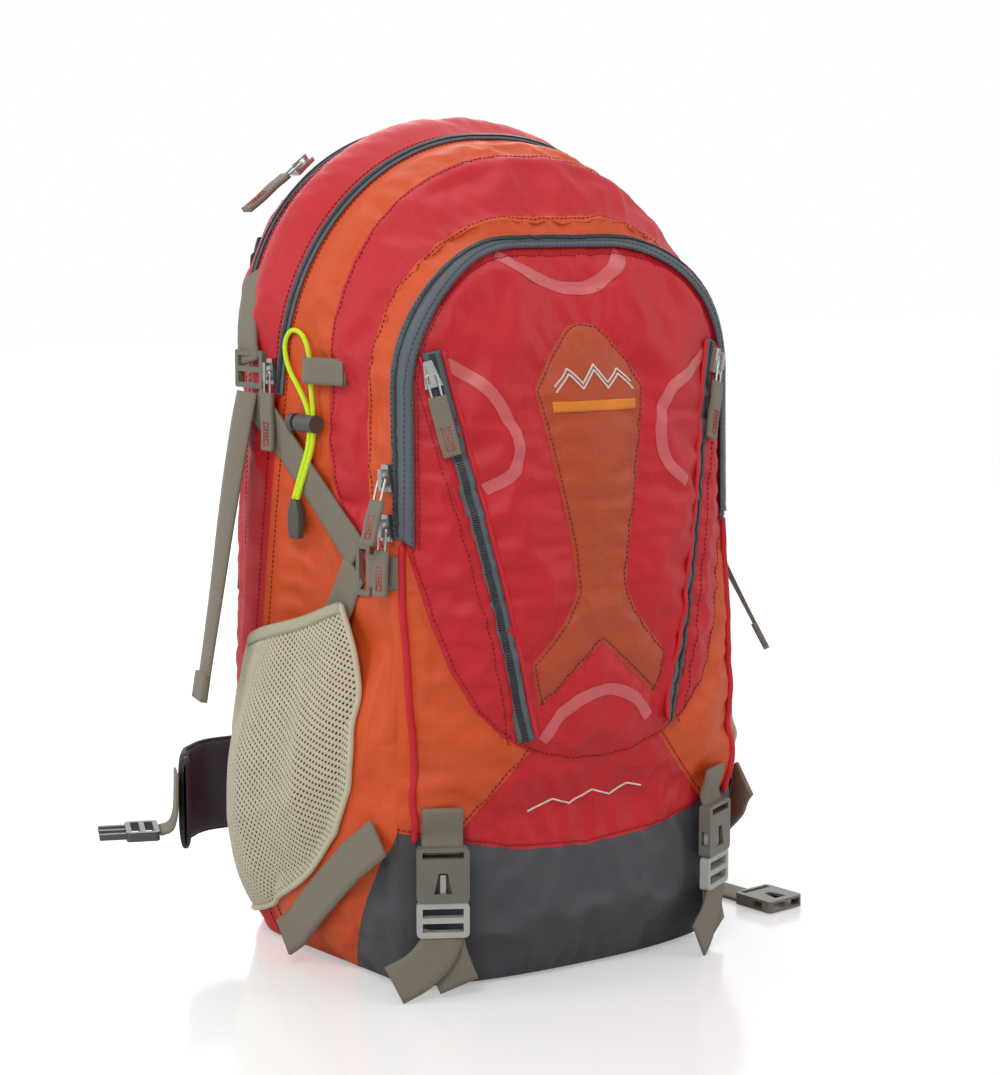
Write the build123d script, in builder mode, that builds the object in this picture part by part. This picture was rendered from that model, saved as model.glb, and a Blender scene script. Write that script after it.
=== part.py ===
"""Hiking daypack: hollow side pockets, framed back, harness, webbing, buckles, cords and zips.

Millimetres. The origin is the centre of the flat base, +Z is up, the front faces -Y and the
harness is at +Y. Paired pieces are drawn on the right (+X) and mirrored for the left.
"""
import os
from math import atan2, cos, hypot, pi, radians, sin, tan

from build123d import *

os.makedirs("parts", exist_ok=True)

# Bag body. Arch sections as (y, half width, apex height, top corner radius).
boot_top = 80.0
seam_gap = 0.3
bag_wall = 3.0
front_wall = 8.0
back_y = 152.0
widest_y = 66.0
widest_half = 139.0
gusset_y = -55.0
gusset_half = 124.0
gusset_apex = 463.0
gusset_radius = 90.0
compartment_arches = [
    (back_y, 124.0, 502.0, 105.0),
    (112.0, 137.0, 524.0, 125.0),
    (widest_y, widest_half, 531.0, 134.0),
    (12.0, 132.3, 520.0, 128.0),
    (-20.0, 128.3, 508.0, 118.0),
    (gusset_y, gusset_half, 470.0, 98.0),
]
corner_y = -80.0
corner_half = 119.0
corner_apex = 432.0
corner_radius = 60.0
face_y = -117.0
face_half = 50.0
face_apex = 355.0
face_radius = 32.0
face_foot = 135.0
boot_front_y = -100.0
floor_front_y = -85.0
floor_inset = 12.0
boot_belly = 5.0
boot_belly_z = 45.0

# Webbing, buckles and straps.
webbing = 25.0
webbing_t = 1.6
lie_gap = 0.3
buckle_width = 32.0
buckle_t = 8.0
female_length = 26.0
female_tail = 8.0
male_length = 21.6
prong_length = 17.0
prong_width = 3.4
bar_window = 4.0
buckle_wall = 1.7
slide_gap = 0.3
part_gap = 0.4

# Side mesh pockets.
pocket_depth = 24.0
pocket_wall = 2.0
pocket_outline = [
    (-66, 112), (-66, 170), (-38, 242), (62, 214), (98, 130), (100, 24), (18, 50), (-56, 100),
]

# Bungee cord, its lock and its end.
cord_d = 3.0
cord_lift = 4.9
lock_radius = 5.5
lock_y = 7.0
lock_z = 346.0
button_travel = 3.5

# Back panel and harness.
sheet_t = 2.0
stay_width = 12.0
stay_t = 3.0
stay_x = 60.0
pad_t = 13.0
pad_half = 94.0
pad_foot = 100.0
pad_apex = 480.0
lumbar_half = 95.5
lumbar_foot = 40.0
lumbar_t = 17.0
strap_pad_width = 58.0
strap_pad_t = 12.0
strap_pad_x = 69.0
wing_t = 8.0
wing_height = 62.0
wing_foot = 54.0
wing_pivot = (100.0, 163.0)

# Zips.
zip_width = 14.0
zip_t = 3.0
slider_length = 16.0
slider_width = 11.0
slider_t = 5.0
pull_length = 48.0
pull_width = 11.0
pull_t = 2.4


def finish(piece, name):
    """Label one finished sub-part and write it."""
    piece.part.label = name
    export_step(piece.part, f"parts/{name}.step")


def mirrored(side):
    """Turn the right-hand piece into the left-hand one when side is -1."""
    if side < 0:
        mirror(about=Plane.YZ, mode=Mode.REPLACE)


sides = ((1, "right"), (-1, "left"))


# ---------------------------------------------------------------- bag body
def arch(y, half, apex, foot, radius, grow=0.0):
    """One arch-shaped section of the bag, on the plane across the pack at y."""
    with BuildSketch(Plane.XZ.offset(-y)) as section_sketch:
        with BuildLine():
            Polyline(
                (-half - grow, foot - grow),
                (half + grow, foot - grow),
                (half + grow, apex + grow),
                (-half - grow, apex + grow),
                close=True,
            )
        make_face()
        fillet(section_sketch.vertices().group_by(Axis.Y)[-1], radius=radius + min(grow, 0.0))
    return section_sketch.sketch


def compartment_shape(grow=0.0, mode=Mode.ADD, end_wall=0.0):
    end_shift = {back_y: -end_wall, gusset_y: end_wall}
    sections = [
        arch(y + end_shift.get(y, 0.0), half, apex, boot_top, radius, grow)
        for y, half, apex, radius in compartment_arches
    ]
    loft(sections, ruled=True, mode=mode)


def share(start, end, part):
    return start + (end - start) * part


front_part = (corner_y - boot_front_y) / (corner_y - face_y)
boot_front_half = share(corner_half, face_half, front_part)


def front_pocket_shape(grow=0.0, mode=Mode.ADD, back=gusset_y - seam_gap):
    middle_apex = share(corner_apex, face_apex, front_part)
    middle_radius = share(corner_radius, face_radius, front_part)
    sections = [
        arch(back, gusset_half, gusset_apex, boot_top, gusset_radius, grow),
        arch(corner_y - grow, corner_half, corner_apex, boot_top, corner_radius, grow),
        arch(boot_front_y - grow, boot_front_half, middle_apex, boot_top, middle_radius, grow),
        arch(face_y - grow, face_half, face_apex, face_foot, face_radius, grow),
    ]
    loft(sections, ruled=True, mode=mode)


def boot_outline(z, inset, front):
    """The pack's outline seen from above, drawn in by inset, at height z."""
    half_outline = [
        (back_y - max(inset, 0) / 3, compartment_arches[0][1] - inset),
        (112.0, 137.0 - inset),
        (widest_y, widest_half - inset),
        (gusset_y, gusset_half - inset),
        (corner_y + max(inset, 0) / 2, corner_half - inset),
        (front, boot_front_half - inset),
    ]
    right = [(half, y) for y, half in half_outline]
    left = [(-half, y) for y, half in reversed(half_outline)]
    with BuildSketch(Plane.XY.offset(z)) as outline_sketch:
        with BuildLine():
            Polyline(*right, *left, close=True)
        make_face()
    return outline_sketch.sketch


def boot_shape(grow=0.0, mode=Mode.ADD, end_wall=0.0):
    sections = [
        boot_outline(end_wall, floor_inset - grow, floor_front_y - grow),
        boot_outline(boot_belly_z, -grow, boot_front_y - boot_belly - grow),
        boot_outline(boot_top - seam_gap - end_wall, -grow, boot_front_y - grow),
    ]
    loft(sections, ruled=True, mode=mode)


with BuildPart() as main_compartment:
    compartment_shape()
    compartment_shape(-bag_wall, Mode.SUBTRACT, bag_wall)

with BuildPart() as base_boot:
    boot_shape()
    boot_shape(-bag_wall, Mode.SUBTRACT, bag_wall)

finish(main_compartment, "main_compartment")
finish(base_boot, "base_boot")

# Flat planes that the side and front pieces lie on (right-hand side).
side_run = widest_y - gusset_y
side_lean = widest_half - gusset_half
side_long = hypot(side_run, side_lean)
side_plane = Plane(
    origin=(widest_half, widest_y, 0),
    x_dir=(side_lean / side_long, side_run / side_long, 0),
    z_dir=(side_run / side_long, -side_lean / side_long, 0),
)
face_run = corner_half - face_half
face_depth = corner_y - face_y
face_long = hypot(face_run, face_depth)
face_plane = Plane(
    origin=(face_half, face_y, 0),
    x_dir=(face_run / face_long, face_depth / face_long, 0),
    z_dir=(face_depth / face_long, -face_run / face_long, 0),
)


def along(y):
    """Distance along the side plane of the point at depth y."""
    return (y - widest_y) * side_long / side_run


def across(x):
    """Distance along the slanted front plane of the point at width x."""
    return (x - face_half) * face_long / face_run


def band(plane, points, thickness=webbing_t, width=webbing):
    """Webbing that lies flat on a plane along a line of points."""
    with BuildSketch(plane) as band_sketch:
        with BuildLine():
            Polyline(*points)
        trace(line_width=width)
    extrude(band_sketch.sketch, amount=thickness)


# ---------------------------------------------------------------- side mesh pockets
pocket_start = 14.0
mouth_reach = 40.0
for side, hand in sides:
    with BuildPart() as mesh_pocket:
        with BuildSketch(side_plane.offset(-pocket_start)):
            with BuildLine():
                Polyline(*[(along(y), z) for y, z in pocket_outline], close=True)
            make_face()
        extrude(amount=pocket_start + pocket_depth)
        with BuildSketch(side_plane.offset(-pocket_start - 1)):
            with BuildLine():
                Polyline(*[(along(y), z) for y, z in pocket_outline], close=True)
            make_face()
            offset(amount=-pocket_wall, kind=Kind.INTERSECTION, mode=Mode.REPLACE)
            front_top, back_top = pocket_outline[2], pocket_outline[3]
            with BuildLine():
                Polyline(
                    (along(front_top[0]) + pocket_wall, front_top[1] - 2 * pocket_wall),
                    (along(back_top[0]) - pocket_wall, back_top[1] - 2 * pocket_wall),
                    (along(back_top[0]) - pocket_wall, back_top[1] + mouth_reach),
                    (along(front_top[0]) + pocket_wall, front_top[1] + mouth_reach),
                    close=True,
                )
            make_face()
        extrude(amount=pocket_start + 1 + pocket_depth - pocket_wall, mode=Mode.SUBTRACT)
        compartment_shape(seam_gap, Mode.SUBTRACT)
        boot_shape(seam_gap, Mode.SUBTRACT)
        front_pocket_shape(seam_gap, Mode.SUBTRACT, gusset_y + 1)
        mirrored(side)
    finish(mesh_pocket, f"side_mesh_pocket_{hand}")


# ---------------------------------------------------------------- zips
zip_top = (105.0, 380.0)
zip_foot = (53.0, 156.0)
zip_top_s = Vector(across(zip_top[0]), zip_top[1])
zip_foot_s = Vector(across(zip_foot[0]), zip_foot[1])
zip_long = (zip_top_s - zip_foot_s).length
zip_lean = atan2(zip_top_s.X - zip_foot_s.X, zip_top_s.Y - zip_foot_s.Y)
zip_origin = face_plane.from_local_coords((zip_foot_s.X, zip_foot_s.Y, 0))
zip_up = (face_plane.x_dir * sin(zip_lean)) + Vector(0, 0, cos(zip_lean))
pocket_zip_plane = Plane(
    origin=zip_origin, x_dir=zip_up.cross(face_plane.z_dir), z_dir=face_plane.z_dir
)
trench_depth = 30.0
slider_park = 20.0


def zip_trench():
    """Straight seat for a slanted pocket zip, open above it so that the slider can run."""
    with BuildSketch(pocket_zip_plane.offset(-zip_t - seam_gap)) as trench_sketch:
        with Locations((0, (zip_long + slider_park) / 2)):
            Rectangle(zip_width + 2 * seam_gap, zip_long + slider_park + 2 * seam_gap)
    extrude(trench_sketch.sketch, amount=trench_depth, mode=Mode.SUBTRACT)


with BuildPart() as front_pocket:
    front_pocket_shape()
    front_pocket_shape(-front_wall, Mode.SUBTRACT, gusset_y - seam_gap - bag_wall)
    zip_trench()
    mirror(about=Plane.YZ, mode=Mode.INTERSECT)
finish(front_pocket, "front_pocket")

with BuildPart() as pocket_zips:
    with BuildSketch(pocket_zip_plane.offset(-zip_t)):
        with Locations((0, zip_long / 2)):
            Rectangle(zip_width, zip_long)
    extrude(amount=zip_t)
    mirror(about=Plane.YZ)
finish(pocket_zips, "pocket_zips")

front_zip_foot = 280.0
with BuildPart() as front_zip:
    front_pocket_shape(2.6)
    with Locations((0, (corner_y + gusset_y) / 2 - 2, 400)):
        Box(400, zip_width, 2 * (400 - front_zip_foot), mode=Mode.INTERSECT)
    front_pocket_shape(seam_gap, Mode.SUBTRACT)
finish(front_zip, "front_zip")

main_zip_foot = (45.0, 367.0)
main_zip_apex = (16.0, 521.0)
main_zip_lean = atan2(main_zip_foot[0] - main_zip_apex[0], main_zip_apex[1] - main_zip_foot[1])
main_zip_width = 9.0
rear_zip_y = 92.0
rear_zip_foot = 430.0
with BuildPart() as compartment_zips:
    compartment_shape(2.2)
    main_zip_plane = Plane(
        origin=(0, *main_zip_foot), x_dir=(1, 0, 0), z_dir=(0, cos(main_zip_lean), sin(main_zip_lean))
    )
    with BuildSketch(main_zip_plane.offset(-main_zip_width / 2)):
        Rectangle(400, 600, align=(Align.CENTER, Align.MAX))
    extrude(amount=main_zip_width, mode=Mode.INTERSECT)
    compartment_shape(seam_gap, Mode.SUBTRACT)
with BuildPart() as rear_zip_part:
    compartment_shape(2.2)
    with Locations((0, rear_zip_y, rear_zip_foot)):
        Box(400, main_zip_width, 300, align=(Align.CENTER, Align.CENTER, Align.MIN), mode=Mode.INTERSECT)
    compartment_shape(seam_gap, Mode.SUBTRACT)
with BuildPart() as both_zips:
    add(compartment_zips.part)
    add(rear_zip_part.part)
finish(both_zips, "compartment_zips")


# ---------------------------------------------------------------- webbing on the sides
ring_at = (-46.0, 261.0)
ring_size = (14.0, 32.0)
ring_bar = 3.5
ring_t = 3.5
lock_at = (70.0, 376.0)
ladder_size = (30.0, 24.0)
ladder_t = 5.0
upper_strap = [(58, 352), (-28, 277)]
upper_anchor = [(70, 388.4), (70, 404)]
lower_strap = [(-24, 243), (62, 128)]
tab_strap = [(-53.6, 262), (-70, 262)]
tab_width = 20.0
loop_strap = [(-78, 98), (30, 11)]
bungee_tab_y = (-25.0, 8.0)
bungee_tab_z = (371.0, 387.0)
bungee_tab_t = 9.0
channel = (6.4, 4.8)
channel_y = 4.0

flat_on_side = side_plane.offset(lie_gap)


def side_points(points):
    return [(along(y), z) for y, z in points]


def both_sides():
    mirror(about=Plane.YZ)


def slotted_bar(plane, size, thickness, bars, bar=ring_bar):
    """A rectangular webbing bar with the given number of openings side by side."""
    width, height = size
    opening = (width - bar * (bars + 1)) / bars
    with BuildSketch(plane) as bar_sketch:
        RectangleRounded(width, height, bar / 2)
        with GridLocations(opening + bar, 0, bars, 1):
            Rectangle(opening, height - 2 * bar, mode=Mode.SUBTRACT)
    extrude(bar_sketch.sketch, amount=thickness)


with BuildPart() as compression_straps:
    band(flat_on_side, side_points(upper_strap))
    band(flat_on_side, side_points(upper_anchor))
    both_sides()
finish(compression_straps, "compression_straps")

with BuildPart() as compression_straps_lower:
    band(flat_on_side, side_points(lower_strap))
    both_sides()
finish(compression_straps_lower, "compression_straps_lower")

with BuildPart() as lower_loop_straps:
    band(flat_on_side, side_points(loop_strap), 2 * webbing_t)
    both_sides()
finish(lower_loop_straps, "lower_loop_straps")

with BuildPart() as side_rings:
    ring_plane = Plane(
        origin=flat_on_side.from_local_coords((along(ring_at[0]), ring_at[1], 0)),
        x_dir=side_plane.x_dir,
        z_dir=side_plane.z_dir,
    )
    slotted_bar(ring_plane, ring_size, ring_t, 1)
    both_sides()
finish(side_rings, "side_rings")

with BuildPart() as ring_tabs:
    band(flat_on_side, side_points(tab_strap), webbing_t, tab_width)
    both_sides()
finish(ring_tabs, "ring_tabs")

with BuildPart() as ladder_locks:
    ladder_plane = Plane(
        origin=flat_on_side.from_local_coords((along(lock_at[0]), lock_at[1], 0)),
        x_dir=(0, 0, 1),
        z_dir=side_plane.z_dir,
    )
    slotted_bar(ladder_plane, (ladder_size[1], ladder_size[0]), ladder_t, 2)
    both_sides()
finish(ladder_locks, "ladder_locks")

with BuildPart() as bungee_tabs:
    with BuildSketch(flat_on_side) as tab_sketch:
        with Locations((along(sum(bungee_tab_y) / 2), sum(bungee_tab_z) / 2)):
            Rectangle(bungee_tab_y[1] - bungee_tab_y[0], bungee_tab_z[1] - bungee_tab_z[0])
    extrude(amount=bungee_tab_t)
    with BuildSketch(side_plane.offset(cord_lift - channel[1] / 2)) as channel_sketch:
        with Locations((along(channel_y), sum(bungee_tab_z) / 2)):
            Rectangle(channel[0], 2 * (bungee_tab_z[1] - bungee_tab_z[0]))
    extrude(amount=channel[1], mode=Mode.SUBTRACT)
    both_sides()
finish(bungee_tabs, "bungee_tabs")

# Hanging ends of the upper straps: they bow out from the side and lean backwards.
hang_lean = 8.0
hang_top = (widest_half + 7.5, 70.0, 361.8)
hang_path = [(0, 0), (5, 26), (13, 78), (21, 132), (31, 198)]
for side, hand in sides:
    with BuildPart() as hanging_strap:
        hang_plane = Plane(
            origin=hang_top, x_dir=(1, 0, 0), z_dir=(0, cos(radians(hang_lean)), sin(radians(hang_lean)))
        )
        with BuildSketch(hang_plane):
            with BuildLine():
                FilletPolyline(*hang_path, radius=60)
            trace(line_width=webbing_t)
        extrude(amount=webbing / 2, both=True)
        mirrored(side)
    finish(hanging_strap, f"hanging_strap_{hand}")

# ---------------------------------------------------------------- bungee cords
strand_gap = 1.8
slot_shift = -3.5
slot_play = 2.4
slot_a = along(lock_y) + slot_shift
end_a = along(21.0)
end_z = 298.0
cord_points = [
    (end_a - strand_gap, end_z),
    (slot_a + 7.0, 316.0),
    (slot_a - strand_gap, 333.0),
    (slot_a - strand_gap - 0.4, 352.0),
    (along(channel_y), 370.0),
    (along(channel_y) + 0.4, 388.0),
    (along(channel_y) + 7.0, 401.0),
    (along(channel_y) + 20.0, 404.0),
    (along(channel_y) + 28.0, 394.0),
    (along(channel_y) + 24.0, 379.0),
    (along(channel_y) + 10.0, 365.0),
    (slot_a + strand_gap, 352.0),
    (slot_a + strand_gap + 0.4, 334.0),
    (slot_a + 11.0, 316.0),
    (end_a + strand_gap, end_z),
]


def corner_radii(points):
    """The largest arc that the two runs beside each corner leave room for."""
    radii = []
    for before, here, after in zip(points, points[1:], points[2:]):
        run_in = Vector(here[0] - before[0], here[1] - before[1])
        run_out = Vector(after[0] - here[0], after[1] - here[1])
        turn = radians(run_in.get_angle(run_out))
        radii.append(0.45 * min(run_in.length, run_out.length) / tan(turn / 2))
    return radii


cord_radii = corner_radii(cord_points)
print("bungee cord radii", [round(radius, 1) for radius in cord_radii])
cord_plane = side_plane.offset(cord_lift)
for side, hand in sides:
    with BuildPart() as bungee_cord:
        with BuildLine(cord_plane) as cord_line:
            FilletPolyline(*cord_points, radius=cord_radii)
        with BuildSketch(Plane(origin=cord_line.line @ 0, z_dir=cord_line.line % 0)):
            Circle(cord_d / 2)
        sweep()
        mirrored(side)
    cord_length = sum(edge.length for edge in cord_line.edges())
    cord_section = pi * cord_d * cord_d / 4
    print("bungee cord", hand, "length", round(cord_length, 1), "volume ratio",
          round(bungee_cord.part.volume / (cord_section * cord_length), 4))
    finish(bungee_cord, f"bungee_cord_{hand}")

lock_length = 17.5
lock_back = 10.0
head_length = 5.0
head_radius = 5.0
stem_radius = 2.9
stem_bore = 3.1
bore_depth = 6.9
lock_lift = lock_radius + lie_gap + 0.1
lock_point = side_plane.from_local_coords((along(lock_y) - lock_back, lock_z, lock_lift))
lock_plane = Plane(origin=lock_point, x_dir=(0, 0, 1), z_dir=side_plane.x_dir)
for side, hand in sides:
    with BuildPart() as cord_lock:
        with BuildSketch(lock_plane):
            Circle(lock_radius)
        extrude(amount=lock_length)
        with BuildSketch(lock_plane.offset(lock_length)):
            Circle(stem_bore)
        extrude(amount=-bore_depth, mode=Mode.SUBTRACT)
        level_plane = Plane(origin=(0, 0, lock_z), x_dir=side_plane.x_dir, z_dir=(0, 0, 1))
        with BuildSketch(level_plane) as slot_sketch:
            slot_place = level_plane.to_local_coords(
                side_plane.from_local_coords((slot_a, lock_z, cord_lift))
            )
            with Locations((slot_place.X, slot_place.Y)):
                Rectangle(2 * strand_gap + cord_d + slot_play, cord_d + 0.8)
        extrude(amount=2 * lock_radius, both=True, mode=Mode.SUBTRACT)
        mirrored(side)
    finish(cord_lock, f"cord_lock_{hand}")
    with BuildPart() as cord_button:
        with BuildSketch(lock_plane.offset(lock_length - bore_depth + button_travel + 0.3)):
            Circle(stem_radius)
        extrude(amount=bore_depth + 0.3)
        with BuildSketch(lock_plane.offset(lock_length + button_travel + 0.3)):
            Ellipse(head_radius + 0.5, head_radius)
        extrude(amount=head_length)
        mirrored(side)
    finish(cord_button, f"cord_button_{hand}")

end_size = (12.0, 24.0, 5.0)
end_seat = 0.8
with BuildPart() as cord_ends:
    with BuildSketch(side_plane.offset(cord_lift - end_size[2] / 2)):
        with Locations((end_a, end_z - end_seat - end_size[1] / 2)):
            RectangleRounded(end_size[0], end_size[1], 4)
    extrude(amount=end_size[2])
    both_sides()
finish(cord_ends, "cord_ends")


# ---------------------------------------------------------------- side-release buckles
frame_side = 3.5
cavity_side = 3.0
release_height = 12.5
release_opening = 9.0
window_width = 11.0
window_height = 13.0
end_joint = 0.3


def female_half(plane, width=buckle_width):
    """Socket half: its mouth is on the plane's X axis and its webbing bar is at +Y."""
    cavity = width - 2 * cavity_side
    with BuildSketch(plane) as shell_sketch:
        with Locations((0, (female_length + female_tail) / 2)):
            RectangleRounded(width, female_length + female_tail, 3)
        with Locations((0, female_length + female_tail / 2 - 0.5)):
            Rectangle(width - 2 * frame_side, bar_window, mode=Mode.SUBTRACT)
    extrude(shell_sketch.sketch, amount=buckle_t)
    with BuildSketch(plane.offset(buckle_wall)) as cavity_sketch:
        with Locations((0, (female_length - 4) / 2 - 0.5)):
            Rectangle(cavity, female_length - 3)
        with Locations((0, release_height)):
            Rectangle(width + 2, release_opening)
    extrude(cavity_sketch.sketch, amount=buckle_t - 2 * buckle_wall, mode=Mode.SUBTRACT)
    with BuildSketch(plane.offset(buckle_t - buckle_wall)) as window_sketch:
        with Locations((0, release_height - 0.5)):
            Trapezoid(window_width, window_height, 78)
    extrude(window_sketch.sketch, amount=buckle_wall + 1, mode=Mode.SUBTRACT)


def male_half(plane, width=buckle_width):
    """Plug half: ladder frame at -Y, two arms and a guide rib that enter the socket at +Y."""
    frame_t = buckle_t - 2.0
    opening = (male_length - 3 * ring_bar) / 2
    with BuildSketch(plane.offset(1.0)) as frame_sketch:
        with Locations((0, -part_gap - male_length / 2)):
            RectangleRounded(width, male_length, 3)
            with GridLocations(0, opening + ring_bar, 1, 2):
                Rectangle(width - 2 * frame_side, opening, mode=Mode.SUBTRACT)
    extrude(frame_sketch.sketch, amount=frame_t)
    arm_x = width / 2 - cavity_side - 0.6 - prong_width / 2
    with BuildSketch(plane.offset(buckle_wall + slide_gap)) as arm_sketch:
        with Locations(*[(x, (prong_length - part_gap - 1) / 2) for x in (-arm_x, 0, arm_x)]):
            Rectangle(prong_width, prong_length + part_gap + 1)
    extrude(arm_sketch.sketch, amount=buckle_t - 2 * (buckle_wall + slide_gap))


base_buckle_x = 100.0
base_buckle_z = 62.0
anchor_t = 2 * webbing_t
base_buckle_lift = 2 * lie_gap + anchor_t
base_point = face_plane.from_local_coords((across(base_buckle_x), base_buckle_z, base_buckle_lift))
base_plane = Plane(origin=base_point, x_dir=face_plane.x_dir, z_dir=face_plane.z_dir)
tail_top = -part_gap - male_length - end_joint
tail_start = [(-webbing / 2, tail_top), (webbing / 2, tail_top)]
tail_outer = tail_start + [(-7, -59), (-31, -53)]
tail_inner = tail_start + [(24, -57), (1, -60.5)]
outer_tail_level = 4.6
inner_tail_level = 1.4
for side, hand in sides:
    with BuildPart() as base_female:
        female_half(base_plane)
        mirrored(side)
    finish(base_female, f"base_buckle_female_{hand}")
    with BuildPart() as base_male:
        male_half(base_plane)
        mirrored(side)
    finish(base_male, f"base_buckle_male_{hand}")
    with BuildPart() as base_tail:
        for outline, level in ((tail_outer, outer_tail_level), (tail_inner, inner_tail_level)):
            with BuildSketch(base_plane.offset(level)):
                with BuildLine():
                    Polyline(*outline, close=True)
                make_face()
            extrude(amount=webbing_t)
        mirrored(side)
    finish(base_tail, f"base_strap_tail_{hand}")

anchor_length = 34.0
with BuildPart() as base_anchors:
    anchor_s = across(base_buckle_x)
    anchor_foot = base_buckle_z + female_length - 2
    anchor_line = [(anchor_s, anchor_foot), (anchor_s, anchor_foot + anchor_length)]
    band(face_plane.offset(lie_gap), anchor_line, anchor_t)
    both_sides()
finish(base_anchors, "base_strap_anchors")

# ---------------------------------------------------------------- back panel
sheet_front = back_y + seam_gap
sheet_half = 92.0
stay_front = sheet_front + sheet_t + seam_gap
stay_foot = 70.0
stay_top = 440.0
pad_front = stay_front
with BuildPart() as frame_sheet:
    sheet_sketch = arch(sheet_front, sheet_half, 470.0, 60.0, 60.0)
    extrude(sheet_sketch, amount=-sheet_t)
finish(frame_sheet, "frame_sheet")


def stay_boxes(clear=0.0, mode=Mode.ADD):
    with Locations(*[(x, stay_front + stay_t / 2, (stay_foot + stay_top) / 2) for x in (-stay_x, stay_x)]):
        Box(stay_width + 2 * clear, stay_t + 2 * clear, stay_top - stay_foot + 2 * clear, mode=mode)


with BuildPart() as frame_stays:
    stay_boxes()
finish(frame_stays, "frame_stays")

air_channel = 26.0
with BuildPart() as back_pad:
    pad_sketch = arch(pad_front, pad_half, pad_apex, pad_foot, 70.0)
    extrude(pad_sketch, amount=-pad_t)
    stay_boxes(seam_gap, Mode.SUBTRACT)
    with Locations((0, pad_front + pad_t, (pad_foot + pad_apex) / 2)):
        Box(air_channel, pad_t, pad_apex, mode=Mode.SUBTRACT)
    fillet(back_pad.edges().filter_by(Axis.Z).group_by(Axis.Y)[-1], radius=3)
finish(back_pad, "back_pad")

lumbar_front = stay_front + stay_t + seam_gap
with BuildPart() as lumbar_pad:
    with BuildSketch(Plane.XZ.offset(-lumbar_front)):
        with Locations((0, (lumbar_foot + pad_foot) / 2 - 1)):
            RectangleRounded(2 * lumbar_half, pad_foot - lumbar_foot - 2, 8)
    extrude(amount=-(lumbar_t - 3))
finish(lumbar_pad, "lumbar_pad")

haul_path = [(-34, 482), (-25, 507), (25, 507), (34, 482)]
haul_width = 14.0
haul_t = 3.0
with BuildPart() as haul_loop:
    with BuildSketch(Plane.XZ.offset(-sheet_front)):
        with BuildLine():
            FilletPolyline(*haul_path, radius=9)
        trace(line_width=haul_t)
    extrude(amount=-haul_width)
finish(haul_loop, "haul_loop")

# ---------------------------------------------------------------- shoulder straps
pad_back = pad_front + pad_t
strap_path = [
    (pad_back + 7.5, 456), (pad_back + 26, 424), (pad_back + 40, 360), (pad_back + 42, 290),
    (pad_back + 33, 228), (pad_back + 20, 196),
]
lock_line = [(pad_back + 19.85, 195.63), (pad_back + 14.5, 182.5)]
lower_line = [
    (pad_back + 14.3, 182), (pad_back + 9, 130), (pad_back + 5.5, 92), (pad_back + 5.5, 62),
]
for side, hand in sides:
    with BuildPart() as shoulder_strap:
        with BuildSketch(Plane.YZ.offset(strap_pad_x - strap_pad_width / 2)):
            with BuildLine():
                FilletPolyline(*strap_path, radius=40)
            trace(line_width=strap_pad_t)
        extrude(amount=strap_pad_width)
        mirrored(side)
    finish(shoulder_strap, f"shoulder_strap_{hand}")

lock_hole = 1.7
lock_step = 3.0
with BuildPart() as shoulder_locks:
    with BuildSketch(Plane.YZ.offset(strap_pad_x - ladder_size[0] / 2)):
        with BuildLine():
            Polyline(*lock_line)
        trace(line_width=ladder_t)
    extrude(amount=ladder_size[0])
    with BuildSketch(Plane.YZ.offset(strap_pad_x - webbing / 2 - 0.5)):
        middle = (Vector(*lock_line[0]) + Vector(*lock_line[1])) * 0.5
        step = (Vector(*lock_line[1]) - Vector(*lock_line[0])).normalized() * lock_step
        for centre in (middle - step, middle + step):
            with Locations((centre.X, centre.Y)):
                Circle(lock_hole)
    extrude(amount=webbing + 1, mode=Mode.SUBTRACT)
    both_sides()
finish(shoulder_locks, "shoulder_locks")

with BuildPart() as shoulder_webbing:
    with BuildSketch(Plane.YZ.offset(strap_pad_x - webbing / 2)):
        with BuildLine():
            FilletPolyline(*lower_line, radius=20)
        trace(line_width=webbing_t)
    extrude(amount=webbing)
    both_sides()
finish(shoulder_webbing, "shoulder_webbing")

sternum_z = 330.0
sternum_y = pad_back + 38.0
sternum_gap = strap_pad_x - strap_pad_width / 2
sternum_start = -6.0
sternum_plane = Plane(origin=(sternum_start, sternum_y, sternum_z), x_dir=(0, 0, 1), z_dir=(0, 1, 0))
sternum_buckle_width = 26.0
sternum_webbing = 20.0
sternum_level = 3.2
with BuildPart() as sternum_female:
    female_half(sternum_plane, sternum_buckle_width)
finish(sternum_female, "sternum_buckle_female")
with BuildPart() as sternum_male:
    male_half(sternum_plane, sternum_buckle_width)
finish(sternum_male, "sternum_buckle_male")
sternum_reach = sternum_gap - end_joint
with BuildPart() as sternum_straps:
    with BuildSketch(sternum_plane.offset(sternum_level)):
        female_end = female_length + female_tail + end_joint
        right_end = sternum_reach - sternum_start
        male_end = -part_gap - male_length - end_joint
        left_end = -sternum_reach - sternum_start
        for start, stop in ((female_end, right_end), (left_end, male_end)):
            with Locations((0, (start + stop) / 2)):
                Rectangle(sternum_webbing, stop - start)
    extrude(amount=webbing_t)
finish(sternum_straps, "sternum_straps")

# ---------------------------------------------------------------- hip belt
wing_path = [wing_pivot, (135, 165), (157, 148), (170, 120)]
wing_end = wing_path[-1]
for side, hand in sides:
    with BuildPart() as hip_wing:
        with BuildSketch(Plane.XY.offset(wing_foot)):
            with BuildLine():
                FilletPolyline(*wing_path, radius=14)
            trace(line_width=wing_t)
            with Locations(wing_pivot):
                Circle(wing_t / 2)
        extrude(amount=wing_height)
        mirrored(side)
    finish(hip_wing, f"hip_belt_wing_{hand}")


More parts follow.
